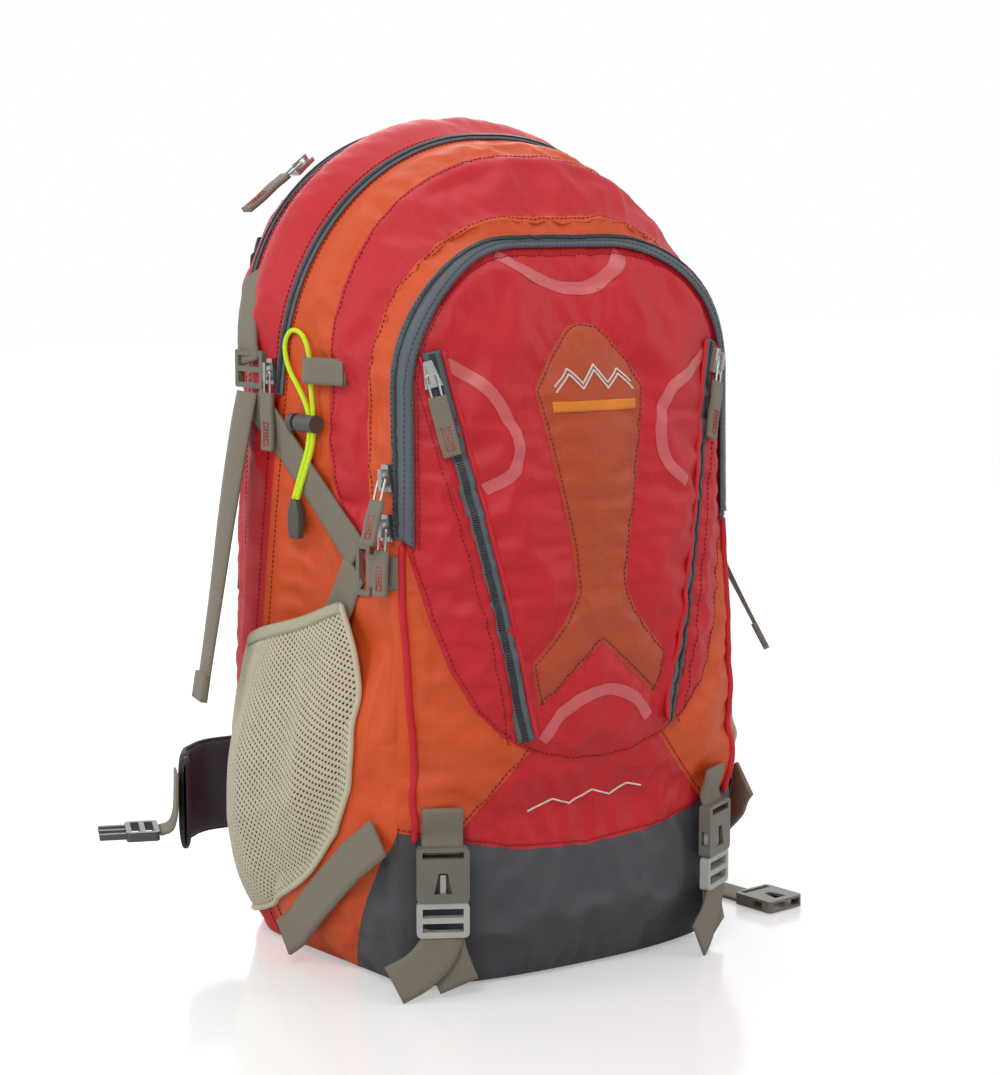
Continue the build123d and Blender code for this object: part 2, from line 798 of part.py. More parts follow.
def belt_plane(direction):
    """Upright plane that a loose belt end drapes in, seen from its edge."""
    heading = Vector(*direction).normalized()
    return Plane(
        origin=(wing_end[0], wing_end[1], 0),
        x_dir=(heading.X, heading.Y, 0),
        z_dir=(heading.Y, -heading.X, 0),
    )


belt_clear = wing_t / 2 + webbing_t / 2 + 0.8
left_heading = (0.93, 0.36)
right_heading = (0.127, -0.992)
left_drape = [(belt_clear, 104), (belt_clear + 1, 84), (belt_clear + 3, 71), (belt_clear + 12, 69)]
right_drape = [(-2, 53), (5, 34), (10, 14), (24, 2.2), (60, 1.4), (150, 1.4)]
with BuildPart() as belt_webbing_left:
    with BuildSketch(belt_plane(left_heading)):
        with BuildLine():
            FilletPolyline(*left_drape, radius=4)
        trace(line_width=webbing_t)
    extrude(amount=webbing / 2, both=True)
    mirrored(-1)
finish(belt_webbing_left, "hip_belt_webbing_left")
with BuildPart() as belt_webbing_right:
    with BuildSketch(belt_plane(right_heading)):
        with BuildLine():
            FilletPolyline(*right_drape, radius=5)
        trace(line_width=webbing_t)
    extrude(amount=webbing / 2, both=True)
finish(belt_webbing_right, "hip_belt_webbing_right")


def buckle_on_belt(direction, reach, height, outward):
    """Flat plane for a belt buckle whose mouth is reach from the wing's end."""
    heading = Vector(*direction).normalized()
    facing = heading * outward
    return Plane(
        origin=(wing_end[0] + heading.X * reach, wing_end[1] + heading.Y * reach, height),
        x_dir=(facing.Y, -facing.X, 0),
        z_dir=(0, 0, 1),
    )


male_mouth = left_drape[-1][0] + end_joint + male_length + part_gap
with BuildPart() as waist_male:
    male_half(buckle_on_belt(left_heading, male_mouth, left_drape[-1][1] - buckle_t / 2, 1))
    mirrored(-1)
finish(waist_male, "waist_buckle_male")
female_mouth = right_drape[-1][0] + end_joint + female_length + female_tail
with BuildPart() as waist_female:
    female_half(buckle_on_belt(right_heading, female_mouth, 0.5, -1))
finish(waist_female, "waist_buckle_female")

# ---------------------------------------------------------------- zip sliders and pulls
bridge_length = 11.0
bridge_top = 4.2
bridge_width = 3.0
bridge_sink = 2.0
eye_length = 7.0
eye_width = 4.0
eye_drop = 1.7
eye_height = 2.9
ring_wire = 1.6
ring_long = 19.0
ring_wide = 7.6
ring_corner = 2.5
ring_inner = 1.4
short_pull = 36.0


def slider_body(plane):
    """Zip slider lying on its plane, running along Y, with a bridge for the pull."""
    with BuildSketch(plane) as body_sketch:
        Trapezoid(slider_width, slider_length, 80)
    extrude(body_sketch.sketch, amount=slider_t - bridge_sink)
    with BuildSketch(plane.offset(slider_t - bridge_sink)) as bridge_sketch:
        Rectangle(bridge_width, bridge_length)
    extrude(bridge_sketch.sketch, amount=bridge_top)
    with BuildSketch(plane.offset(slider_t - eye_drop)) as eye_sketch:
        Rectangle(eye_width, eye_length)
    extrude(eye_sketch.sketch, amount=eye_height, mode=Mode.SUBTRACT)


def pull_tab(plane, tilt=0.0, reach=pull_length):
    """Pull that hangs from a slider's bridge towards -Y: ring wire, then a webbing tab."""
    pivot = plane.from_local_coords((0, 0, slider_t - eye_drop + eye_height / 2))
    lean = radians(tilt)
    pull_plane = Plane(
        origin=pivot, x_dir=plane.x_dir, z_dir=plane.z_dir * cos(lean) + plane.y_dir * sin(lean)
    )
    with BuildSketch(pull_plane.offset(-ring_wire / 2)) as ring_sketch:
        with Locations((0, ring_wire / 2 - ring_long / 2)):
            RectangleRounded(ring_wide, ring_long, ring_corner)
            RectangleRounded(
                ring_wide - 2 * ring_wire, ring_long - 2 * ring_wire, ring_inner, mode=Mode.SUBTRACT
            )
    extrude(ring_sketch.sketch, amount=ring_wire)
    ring_foot = ring_wire / 2 - ring_long - 0.4
    with BuildSketch(pull_plane.offset(-pull_t / 2)) as tab_pull_sketch:
        with Locations((0, (ring_foot - reach) / 2)):
            RectangleRounded(pull_width, reach + ring_foot, 1.5)
    extrude(tab_pull_sketch.sketch, amount=pull_t)


slider_lift = 0.3
pocket_slider_at = pocket_zip_plane.from_local_coords((0, zip_long + 1.0, slider_lift))
pocket_slider_plane = Plane(
    origin=pocket_slider_at, x_dir=pocket_zip_plane.x_dir, z_dir=pocket_zip_plane.z_dir
)
for side, hand in sides:
    with BuildPart() as pocket_slider:
        slider_body(pocket_slider_plane)
        mirrored(side)
    finish(pocket_slider, f"pocket_slider_{hand}")
    with BuildPart() as pocket_pull:
        pull_tab(pocket_slider_plane)
        mirrored(side)
    finish(pocket_pull, f"pocket_pull_{hand}")

gusset_run = gusset_y - corner_y
gusset_lean = gusset_half - corner_half
band_plane = Plane(
    origin=(corner_half, corner_y, 0),
    x_dir=(gusset_lean, gusset_run, 0),
    z_dir=(gusset_run, -gusset_lean, 0),
)
band_middle = (corner_y + gusset_y) / 2 - 2 - corner_y
front_sliders = (("upper", 319.0, 18.0), ("lower", 289.0, 4.0))
for place, z, tilt in front_sliders:
    slider_point = band_plane.from_local_coords((band_middle, z, 2.6 + slider_lift + 0.6))
    slider_plane = Plane(origin=slider_point, x_dir=band_plane.x_dir, z_dir=band_plane.z_dir)
    with BuildPart() as front_slider:
        slider_body(slider_plane)
        mirrored(-1)
    finish(front_slider, f"front_slider_{place}")
    with BuildPart() as front_pull:
        pull_tab(slider_plane, tilt, short_pull)
        mirrored(-1)
    finish(front_pull, f"front_pull_{place}")

main_slider_point = side_plane.from_local_coords((along(46.0), main_zip_foot[1] + 9, 3.0))
main_slider_plane = Plane(origin=main_slider_point, x_dir=side_plane.x_dir, z_dir=side_plane.z_dir)
rear_slider_angle = radians(38.0)
rear_half, rear_apex, rear_radius = (
    share(compartment_arches[2][index], compartment_arches[1][index],
          (rear_zip_y - widest_y) / (compartment_arches[1][0] - widest_y))
    for index in (1, 2, 3)
)
rear_centre = (rear_half - rear_radius, rear_apex - rear_radius)
rear_out = Vector(sin(rear_slider_angle), 0, cos(rear_slider_angle))
rear_reach = rear_radius + 3.6
rear_slider_plane = Plane(
    origin=(
        rear_centre[0] + rear_reach * rear_out.X, rear_zip_y, rear_centre[1] + rear_reach * rear_out.Z
    ),
    x_dir=(0, 1, 0),
    z_dir=rear_out,
)
with BuildPart() as fixed_sliders:
    slider_body(main_slider_plane)
    slider_body(rear_slider_plane)
    mirrored(-1)
finish(fixed_sliders, "compartment_sliders")
with BuildPart() as main_pull:
    pull_tab(main_slider_plane)
    mirrored(-1)
finish(main_pull, "main_pull")
with BuildPart() as rear_pull:
    pull_tab(rear_slider_plane)
    mirrored(-1)
finish(rear_pull, "rear_pull")
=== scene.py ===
"""Hiking daypack: fabric shells, mesh pockets, webbing, zips, cords and hardware finishes."""
from math import ceil, cos, exp, hypot, pi, radians, sin

import bmesh
import bpy
from mathutils import Matrix, Vector, noise
from mathutils.bvhtree import BVHTree
from mathutils.geometry import delaunay_2d_cdt
from mathutils.kdtree import KDTree


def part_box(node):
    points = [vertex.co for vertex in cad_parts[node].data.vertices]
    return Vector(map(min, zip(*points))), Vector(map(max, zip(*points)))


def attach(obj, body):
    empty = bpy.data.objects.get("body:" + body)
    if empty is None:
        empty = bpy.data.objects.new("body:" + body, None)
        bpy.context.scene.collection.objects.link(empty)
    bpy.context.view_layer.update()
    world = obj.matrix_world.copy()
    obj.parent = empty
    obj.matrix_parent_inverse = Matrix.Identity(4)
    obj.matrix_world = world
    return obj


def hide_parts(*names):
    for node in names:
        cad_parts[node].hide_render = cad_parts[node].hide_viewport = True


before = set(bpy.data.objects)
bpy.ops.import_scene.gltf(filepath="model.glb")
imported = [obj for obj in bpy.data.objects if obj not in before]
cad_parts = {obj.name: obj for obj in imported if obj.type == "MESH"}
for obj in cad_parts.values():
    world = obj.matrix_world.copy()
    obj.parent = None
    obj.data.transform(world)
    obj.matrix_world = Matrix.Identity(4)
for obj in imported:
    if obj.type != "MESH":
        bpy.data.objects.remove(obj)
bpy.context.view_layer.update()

mm = 0.001
up = Vector((0, 0, 1))
sides = ((1, "right"), (-1, "left"))


# ---------------------------------------------------------------- camera, lights and room
def studio():
    scene = bpy.context.scene
    scene.view_settings.view_transform = "Standard"
    camera_data = bpy.data.cameras.new("camera")
    camera_data.lens = 83.4
    camera_data.sensor_width = 36
    camera = bpy.data.objects.new("camera", camera_data)
    camera.location = (-0.871, -1.342, 0.49)
    camera.rotation_euler = (radians(82), 0, radians(-33))
    scene.collection.objects.link(camera)
    scene.camera = camera

    def area(name, place, aim, size, power):
        lamp = bpy.data.lights.new(name, "AREA")
        lamp.energy = power
        lamp.size = size
        holder = bpy.data.objects.new(name, lamp)
        holder.location = place
        holder.rotation_euler = (Vector(aim) - Vector(place)).to_track_quat("-Z", "Y").to_euler()
        scene.collection.objects.link(holder)

    area("key_softbox", (-1.7, -1.6, 2.0), (0, 0, 0.25), 1.0, 26)
    area("left_softbox", (-2.2, 0.7, 1.2), (0, 0, 0.3), 1.0, 11)
    area("fill_softbox", (1.9, -1.5, 1.2), (0, 0, 0.25), 1.2, 9)
    area("top_softbox", (0.1, 0.3, 2.1), (0, 0, 0.2), 1.5, 9)
    area("back_softbox", (0.9, 1.9, 1.3), (0, 0, 0.3), 1.3, 16)

    world = bpy.data.worlds.new("white room")
    world.use_nodes = True
    world.node_tree.nodes.clear()
    nodes = Nodes(world.node_tree)
    lit, seen = nodes.add("ShaderNodeBackground"), nodes.add("ShaderNodeBackground")
    for source, colour, strength in ((lit, (0.95, 0.97, 1, 1), 0.30), (seen, (1, 1, 1, 1), 1.0)):
        source.inputs["Color"].default_value = colour
        source.inputs["Strength"].default_value = strength
    path = nodes.add("ShaderNodeLightPath")
    either = nodes.math("MAXIMUM", path.outputs["Is Camera Ray"], path.outputs["Is Glossy Ray"])
    mix = nodes.add("ShaderNodeMixShader")
    nodes.link(nodes.math("MAXIMUM", either, path.outputs["Is Transmission Ray"]), mix.inputs[0])
    nodes.link(lit.outputs[0], mix.inputs[1])
    nodes.link(seen.outputs[0], mix.inputs[2])
    nodes.link(mix.outputs[0], nodes.add("ShaderNodeOutputWorld").inputs["Surface"])
    scene.world = world

    floor_mesh = bmesh.new()
    bmesh.ops.create_grid(floor_mesh, x_segments=1, y_segments=1, size=6)
    floor = mesh_object("studio_floor", floor_mesh, [floor_finish()], None)
    floor.location.z = -0.0004


# ---------------------------------------------------------------- small makers
def mesh_object(name, bm, finishes, body, smooth=True):
    """Turn a bmesh into a piece that rides on a body."""
    mesh = bpy.data.meshes.new(name)
    for face in bm.faces:
        face.smooth = smooth
    bm.to_mesh(mesh)
    bm.free()
    piece = bpy.data.objects.new(name, mesh)
    bpy.context.scene.collection.objects.link(piece)
    for finish in finishes:
        mesh.materials.append(finish)
    if body:
        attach(piece, body)
    return piece


def modifier(piece, kind, **settings):
    added = piece.modifiers.new(kind.title(), kind)
    for key, value in settings.items():
        setattr(added, key, value)
    return added


def solid_cloth(piece, thickness, offset=0.0):
    modifier(piece, "SOLIDIFY", thickness=thickness, offset=offset, use_even_offset=True)


def subdivided(piece, levels=1):
    modifier(piece, "SUBSURF", levels=levels, render_levels=levels)


def applied(piece):
    """The piece's mesh with its modifiers applied."""
    depsgraph = bpy.context.evaluated_depsgraph_get()
    mesh = bpy.data.meshes.new_from_object(piece.evaluated_get(depsgraph))
    old = piece.data
    piece.modifiers.clear()
    piece.data = mesh
    bpy.data.meshes.remove(old)
    return piece


def point_tree(points):
    """Search tree over points, each found again by its place in the list."""
    tree = KDTree(len(points))
    for index, point in enumerate(points):
        tree.insert(point, index)
    tree.balance()
    return tree


def once(side, node):
    """A node that holds both sides is handed over by the right one."""
    return node if side == 1 else None


def belong(piece, node=None):
    """Hide the CAD node that a piece stands for, when one is given, and hand the piece back."""
    if node:
        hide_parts(node)
    return piece


def clamp(value, low=0.0, high=1.0):
    return max(low, min(high, value))


def ease(value):
    value = clamp(value)
    return value * value * (3 - 2 * value)


def table(value, pairs):
    """Smooth value read between (key, value) pairs in rising order of key."""
    if value <= pairs[0][0]:
        return pairs[0][1]
    for index in range(len(pairs) - 1):
        (k0, v0), (k1, v1) = pairs[index], pairs[index + 1]
        if value <= k1:
            before = pairs[index - 1] if index else (2 * k0 - k1, 2 * v0 - v1)
            after = pairs[index + 2] if index + 2 < len(pairs) else (2 * k1 - k0, 2 * v1 - v0)
            slope0 = (v1 - before[1]) / (k1 - before[0])
            slope1 = (after[1] - v0) / (after[0] - k0)
            run = k1 - k0
            t = (value - k0) / run
            return (
                (2 * t ** 3 - 3 * t * t + 1) * v0
                + (t ** 3 - 2 * t * t + t) * run * slope0
                + (3 * t * t - 2 * t ** 3) * v1
                + (t ** 3 - t * t) * run * slope1
            )
    return pairs[-1][1]


def smooth_line(points, count):
    """Evenly spaced points on a smooth line through the given ones."""
    points = [Vector(p) for p in points]
    fine = []
    for i in range(len(points) - 1):
        p1, p2 = points[i], points[i + 1]
        p0 = points[i - 1] if i else 2 * p1 - p2
        p3 = points[i + 2] if i + 2 < len(points) else 2 * p2 - p1
        for step in range(12):
            t = step / 12
            fine.append(
                0.5 * (2 * p1 + (p2 - p0) * t + (2 * p0 - 5 * p1 + 4 * p2 - p3) * t * t
                       + (3 * p1 - p0 - 3 * p2 + p3) * t ** 3)
            )
    fine.append(points[-1])
    return even_line(fine, count)


def line_length(points):
    return sum((b - a).length for a, b in zip(points, points[1:]))


def even_line(points, count):
    """The same line with evenly spaced points."""
    total = line_length(points)
    result = [points[0].copy()]
    walked = 0.0
    for a, b in zip(points, points[1:]):
        step = (b - a).length
        while len(result) < count - 1 and walked + step >= total * len(result) / (count - 1):
            share = (total * len(result) / (count - 1) - walked) / step if step else 0
            result.append(a.lerp(b, share))
        walked += step
    while len(result) < count:
        result.append(points[-1].copy())
    return result


# ---------------------------------------------------------------- finishes
class Nodes:
    """Short way to write a node tree."""

    def __init__(self, tree):
        self.tree = tree

    def add(self, kind, **settings):
        node = self.tree.nodes.new(kind)
        for key, value in settings.items():
            setattr(node, key, value)
        return node

    def link(self, source, target):
        self.tree.links.new(source, target)

    def math(self, operation, a, b=None, clamped=False):
        node = self.add("ShaderNodeMath", operation=operation, use_clamp=clamped)
        for socket, value in zip(node.inputs, (a, b)):
            if value is None:
                continue
            if isinstance(value, (int, float)):
                socket.default_value = value
            else:
                self.link(value, socket)
        return node.outputs[0]


    def noise(self, vector, **inputs):
        node = self.add("ShaderNodeTexNoise")
        for label, value in inputs.items():
            node.inputs[label].default_value = value
        self.link(vector, node.inputs["Vector"])
        return node

    def sum(self, first, *rest):
        """Add values, each one given as it is or as (value, factor)."""
        total = self.math("MULTIPLY", *first) if isinstance(first, tuple) else first
        for term in rest:
            term = self.math("MULTIPLY", *term) if isinstance(term, tuple) else term
            total = self.math("ADD", total, term)
        return total


def group(name, numbers, vectors, outputs):
    tree = bpy.data.node_groups.new(name, "ShaderNodeTree")
    for label in vectors:
        tree.interface.new_socket(name=label, in_out="INPUT", socket_type="NodeSocketVector")
    for label, value in numbers.items():
        socket = tree.interface.new_socket(name=label, in_out="INPUT", socket_type="NodeSocketFloat")
        socket.default_value = value
    for label in outputs:
        tree.interface.new_socket(name=label, in_out="OUTPUT", socket_type="NodeSocketFloat")
    nodes = Nodes(tree)
    return nodes, nodes.add("NodeGroupInput").outputs, nodes.add("NodeGroupOutput").inputs


def ripstop_group():
    """Fine plain weave with a raised square grid and slow creases, with painted shade: the crease valleys are
    darker in the colour.
    """
    nodes, given, out = group(
        "ripstop cloth", {"Square": 0.005, "Grid": 1.0, "Crease": 1.0}, ["Vector"], ["Height", "Shade"]
    )
    split = nodes.add("ShaderNodeSeparateXYZ")
    nodes.link(given["Vector"], split.inputs[0])
    lines = []
    for axis in ("X", "Y"):
        wave = nodes.math("DIVIDE", split.outputs[axis], given["Square"])
        wave = nodes.math("FRACT", wave)
        wave = nodes.math("ABSOLUTE", nodes.math("SUBTRACT", wave, 0.5))
        lines.append(nodes.math("GREATER_THAN", wave, 0.42))
    grid = nodes.math("MAXIMUM", *lines)
    fine = nodes.noise(given["Vector"], Scale=900, Detail=2).outputs["Fac"]
    crease = nodes.noise(given["Vector"], Scale=38, Detail=4, Distortion=0.9).outputs["Fac"]
    grid_height, crease_height = (nodes.math("MULTIPLY", given[label], full)
                                  for label, full in (("Grid", 0.10), ("Crease", 1.1)))
    nodes.link(nodes.sum((grid, grid_height), (fine, 0.10), (crease, crease_height)), out["Height"])
    # painted shade: the crease noise of the bump also sets the colour, darker in its valleys; the fine grain and
    # the darker grid lines are the cloth's own tone
    nodes.link(nodes.sum((crease, 0.22), (fine, 0.12), (grid, -0.05), 0.83), out["Shade"])
    return nodes.tree


def webbing_group():
    """Woven tape: ribs across it, a herringbone along it and firmer edges."""
    nodes, given, out = group(
        "woven tape", {"Rib": 0.0016, "Half width": 0.0125}, ["Vector"], ["Height", "Shade"]
    )
    split = nodes.add("ShaderNodeSeparateXYZ")
    nodes.link(given["Vector"], split.inputs[0])
    side = nodes.math("DIVIDE", split.outputs["Y"], nodes.math("MULTIPLY", given["Rib"], 1.1))
    zigzag = nodes.math("PINGPONG", side, 0.5)
    along = nodes.math("ADD", nodes.math("DIVIDE", split.outputs["X"], given["Rib"]), zigzag)
    rib = nodes.math("SINE", nodes.math("MULTIPLY", along, 2 * pi))
    cross = nodes.math("SINE", nodes.math("MULTIPLY", side, 2 * pi))
    fine = nodes.noise(given["Vector"], Scale=700).outputs["Fac"]
    edge = nodes.math("DIVIDE", nodes.math("ABSOLUTE", split.outputs["Y"]), given["Half width"])
    edge = nodes.math("GREATER_THAN", edge, 0.86)
    nodes.link(nodes.sum((rib, 0.30), (cross, 0.16), (fine, 0.3), (edge, 0.35)), out["Height"])
    nodes.link(nodes.sum((rib, 0.07), (cross, 0.05), (fine, 0.3), 0.80), out["Shade"])
    return nodes.tree


def moulded_group():
    """Moulded plastic or cast metal: a fine grain, and slow patches of wear."""
    nodes, given, out = group("moulded grain", {"Scale": 1.0}, ["Vector"], ["Height", "Shade"])
    grain = nodes.noise(given["Vector"])
    nodes.link(nodes.math("MULTIPLY", given["Scale"], 1400), grain.inputs["Scale"])
    patch = nodes.noise(given["Vector"], Scale=90)
    nodes.link(grain.outputs["Fac"], out["Height"])
    nodes.link(nodes.sum((grain.outputs["Fac"], 0.14), (patch.outputs["Fac"], 0.2), 0.83), out["Shade"])
    return nodes.tree


def spacer_group():
    """Spacer mesh of pads: small round pores in staggered rows, with painted shade darkening each pore."""
    nodes, given, out = group("spacer mesh", {"Pitch": 0.0032}, ["Vector"], ["Height", "Shade"])
    cells = nodes.add("ShaderNodeTexVoronoi", feature="F1")
    cells.inputs["Randomness"].default_value = 0.12
    nodes.link(given["Vector"], cells.inputs["Vector"])
    nodes.link(nodes.math("DIVIDE", 1.0, given["Pitch"]), cells.inputs["Scale"])
    pore = nodes.math("SUBTRACT", 0.42, cells.outputs["Distance"], True)
    pore = nodes.math("MULTIPLY", pore, 3.0, True)
    nodes.link(nodes.math("SUBTRACT", 1.0, pore), out["Height"])
    # painted shade: the pores are darkened in the colour for the shade inside the holes
    nodes.link(nodes.math("SUBTRACT", 1.05, nodes.math("MULTIPLY", pore, 0.7)), out["Shade"])
    return nodes.tree


GROUPS = {
    "ripstop": ripstop_group(),
    "webbing": webbing_group(),
    "moulded": moulded_group(),
    "spacer": spacer_group(),
}


def finish(name, colour, kind, bump, roughness=0.6, source="UV", metallic=0.0, sheen=0.0,
           bump_depth=0.0004, **numbers):
    """A Principled material whose shade and relief come from one of the shared groups."""
    material = bpy.data.materials.new(name)
    material.use_nodes = True
    material.diffuse_color = (*colour, 1)
    nodes = Nodes(material.node_tree)
    shader = material.node_tree.nodes["Principled BSDF"]
    for label, value in (("Roughness", roughness), ("Metallic", metallic), ("Sheen Weight", sheen),
                         ("Sheen Roughness", 0.4)):
        shader.inputs[label].default_value = value
    place = nodes.add("ShaderNodeTexCoord")
    pattern = nodes.add("ShaderNodeGroup", node_tree=GROUPS[kind])
    nodes.link(place.outputs[source], pattern.inputs["Vector"])
    for label, value in numbers.items():
        pattern.inputs[label.replace("_", " ").capitalize()].default_value = value
    tint = nodes.add("ShaderNodeMix", data_type="RGBA", blend_type="MULTIPLY")
    tint.inputs[0].default_value = 1.0
    tint.inputs[6].default_value = (*colour, 1)
    nodes.link(pattern.outputs["Shade"], tint.inputs[7])
    nodes.link(tint.outputs[2], shader.inputs["Base Color"])
    relief = nodes.add("ShaderNodeBump")
    relief.inputs["Strength"].default_value = bump
    relief.inputs["Distance"].default_value = bump_depth
    nodes.link(pattern.outputs["Height"], relief.inputs["Height"])
    nodes.link(relief.outputs[0], shader.inputs["Normal"])
    return material


def floor_finish():
    """Glossy white floor that the camera sees as white away from the shadows."""
    material = bpy.data.materials.new("gloss white floor")
    material.use_nodes = True
    shader = material.node_tree.nodes["Principled BSDF"]
    shader.inputs["Base Color"].default_value = (0.82, 0.82, 0.81, 1)
    shader.inputs["Roughness"].default_value = 0.16
    nodes = Nodes(material.node_tree)
    path = nodes.add("ShaderNodeLightPath")
    shader.inputs["Emission Color"].default_value = (1, 1, 1, 1)
    nodes.link(nodes.math("MULTIPLY", path.outputs["Is Camera Ray"], 0.36), shader.inputs["Emission Strength"])
    return material


def srgb(red, green, blue):
    """Linear colour from a colour as seen."""
    def one(value):
        value /= 255
        return value / 12.92 if value <= 0.04045 else ((value + 0.055) / 1.055) ** 2.4
    return one(red), one(green), one(blue)


FINISH = {
    "red": finish("red ripstop", srgb(204, 20, 34), "ripstop", 0.5, 0.56, sheen=0.03),
    "orange": finish("orange ripstop", srgb(220, 82, 24), "ripstop", 0.5, 0.56, sheen=0.03),
    "amber": finish("amber ripstop", srgb(188, 72, 30), "ripstop", 0.4, 0.55, sheen=0.1),
    "boot": finish("grey boot cloth", srgb(72, 73, 77), "ripstop", 0.5, 0.62, Square=0.0016, Crease=0.4),
    "backing": finish("dark back cloth", srgb(52, 53, 57), "ripstop", 0.5, 0.7, Square=0.003, Crease=0.4),
    "yarn": finish("mesh yarn", srgb(205, 199, 172), "moulded", 0.4, 0.75, source="Object", sheen=0.2),
    "hem": finish("knit hem", srgb(196, 190, 164), "webbing", 0.5, 0.75, Rib=0.0012),
    "mark": finish("red box stitching", srgb(190, 40, 48), "moulded", 0.4, 0.7, source="Object"),
    "webbing": finish("taupe webbing", srgb(134, 125, 108), "webbing", 0.55, 0.72, sheen=0.15),
    "tape": finish("grey zip tape", srgb(98, 106, 112), "ripstop", 0.5, 0.72, Square=0.0012, Crease=0.3),
    "coil": finish("dark zip coil", srgb(52, 56, 60), "moulded", 0.3, 0.4, source="Object"),
    "metal": finish("nickel slider", srgb(176, 176, 174), "moulded", 0.2, 0.28, source="Object", metallic=1.0),
    "grey": finish("taupe buckle plastic", srgb(118, 113, 103), "moulded", 0.25, 0.42, source="Object"),
    "light": finish("light buckle plastic", srgb(186, 186, 180), "moulded", 0.25, 0.4, source="Object"),
    "dark": finish("dark moulded plastic", srgb(84, 82, 76), "moulded", 0.25, 0.45, source="Object"),
    "spacer": finish("black spacer mesh", srgb(44, 45, 48), "spacer", 0.8, 0.85, bump_depth=0.0012),
    "wing": finish("grey wing cloth", srgb(70, 76, 84), "ripstop", 0.5, 0.65, Square=0.0018, Crease=0.6),
    "cord": finish("yellow braid", srgb(224, 255, 40), "webbing", 0.5, 0.6, Rib=0.0012),
    "arc": finish("pink reflective film", srgb(216, 98, 102), "moulded", 0.12, 0.42),
    "thread": finish("dark red thread", srgb(130, 18, 34), "moulded", 0.4, 0.7, source="Object"),
    "pale_thread": finish("pale thread", srgb(236, 226, 214), "moulded", 0.4, 0.7, source="Object"),
    "label": finish("orange label", srgb(240, 138, 34), "ripstop", 0.4, 0.6, Square=0.001, Crease=0.2),
    "sheet": finish("white frame sheet", srgb(224, 224, 222), "moulded", 0.3, 0.5, source="Object"),
    "stay": finish("bare aluminium", srgb(196, 197, 200), "moulded", 0.2, 0.35, source="Object", metallic=1.0),
}
cord_glow = FINISH["cord"].node_tree.nodes["Principled BSDF"].inputs
cord_glow["Emission Color"].default_value = (*srgb(210, 250, 20), 1)
cord_glow["Emission Strength"].default_value = 0.12


# ---------------------------------------------------------------- shape of the stuffed bag (mm)
# Arches from the back to the front: (run, y at the side, y at the top, half width, apex, corner radius)
arches = [
    (0, 150, 146, 101, 490, 86),
    (29, 122, 116, 120, 512, 108),
    (53, 99, 90, 132, 526, 125),
    (71, 82, 52, 139.5, 530, 133),
    (94, 58, 16, 137.5, 521, 131),
    (152, 0, -20, 130, 509, 120),
    (190, -38, -56, 125, 472, 98),
    (217, -68, -58, 123, 464, 92),
    (226, -78, -66, 119.5, 457, 86),
]
arch_tables = [[(arch[0], arch[column]) for arch in arches] for column in range(1, 6)]
rear_zip_run, main_zip_run, seam_one_run, seam_two_run, front_run = 53, 94, 152, 190, 226
join_run = 217   # from here on the shell bends over to the face
lean_from = 230.0   # height where the arches start to lean
foot_z = 2.0
leg_top = 400.0   # height where the legs of a seam end
tuck = 60.0   # how far the foot of the front draws back
face_profile = [
    (0, -86), (25, -97), (50, -103), (80, -102), (110, -103), (137, -108), (165, -114), (205, -119),
    (250, -119), (300, -116), (350, -109), (400, -97), (435, -82), (458, -66),
]
face_side_y = -78.0
face_half, face_apex, face_radius = 119.5, 457, 86


def taper(z):
    """The bag draws in where it meets the ground."""
    return 1 - 0.115 * clamp((58 - z) / 58) ** 2


sag_z, sag_right, sag_left = 122, 0.22, 0.09


def sag(x, y, z):
    """The load settles low and to one side: the bag's width grows there."""
    height = exp(-((z - sag_z) / 100) ** 2)
    depth = 1 - clamp((y - 60) / 95)
    depth *= 0.45 + 0.55 * ease((y - face_side_y) / 46)
    return x * (1 + (sag_right if x > 0 else sag_left) * height * depth)


def face_y(x, z):
    middle = table(z, face_profile)
    edge = face_side_y + (1 - taper(z)) * tuck
    return middle + min(abs(x) / face_half, 1.05) ** 2.6 * (edge - middle)


def face_point(x, z, lift=0.0):
    """Point on the front face, in metres."""
    y = face_y(x, z)
    return Vector((sag(x * taper(z), y, z), y - lift, z)) * mm


def arch_length(half, apex, radius):
    return apex - radius - foot_z + radius * pi / 2 + half - radius


def arch_xz(half, apex, radius, turn):
    run = (1 - abs(turn)) * arch_length(half, apex, radius)
    leg = apex - radius - foot_z
    if run < leg:
        x, z = half, foot_z + run
    elif run < leg + radius * pi / 2:
        angle = (run - leg) / radius
        x, z = half - radius + radius * cos(angle), apex - radius + radius * sin(angle)
    else:
        x, z = half - radius - (run - leg - radius * pi / 2), apex
    return (x if turn >= 0 else -x), z


def arch_point(turn, run):
    """Point on the wrap-around shell, in metres. turn is -1 at the left foot and 1 at the right."""
    low_y, top_y, half, apex, radius = (table(run, pairs) for pairs in arch_tables)
    x, z = arch_xz(half, apex, radius, turn)
    share = ease((z - lean_from) / (apex - lean_from))
    y = low_y + (top_y - low_y) * share
    y += (1 - taper(z)) * tuck * clamp(run / front_run)
    if run > join_run:
        y += (face_y(x, z) - y) * (run - join_run) / (front_run - join_run)
    return Vector((sag(x * taper(z), y, z), y, z)) * mm


def turn_at(z, run):
    """Share of the way round, on the right leg, of the height z."""
    half, apex, radius = (table(run, pairs) for pairs in arch_tables[2:])
    return 1 - (z - foot_z) / arch_length(half, apex, radius)


WRAP = 596.0   # flat width of half the shell
cord_plane = 4.9   # the cord's middle, off the side plane


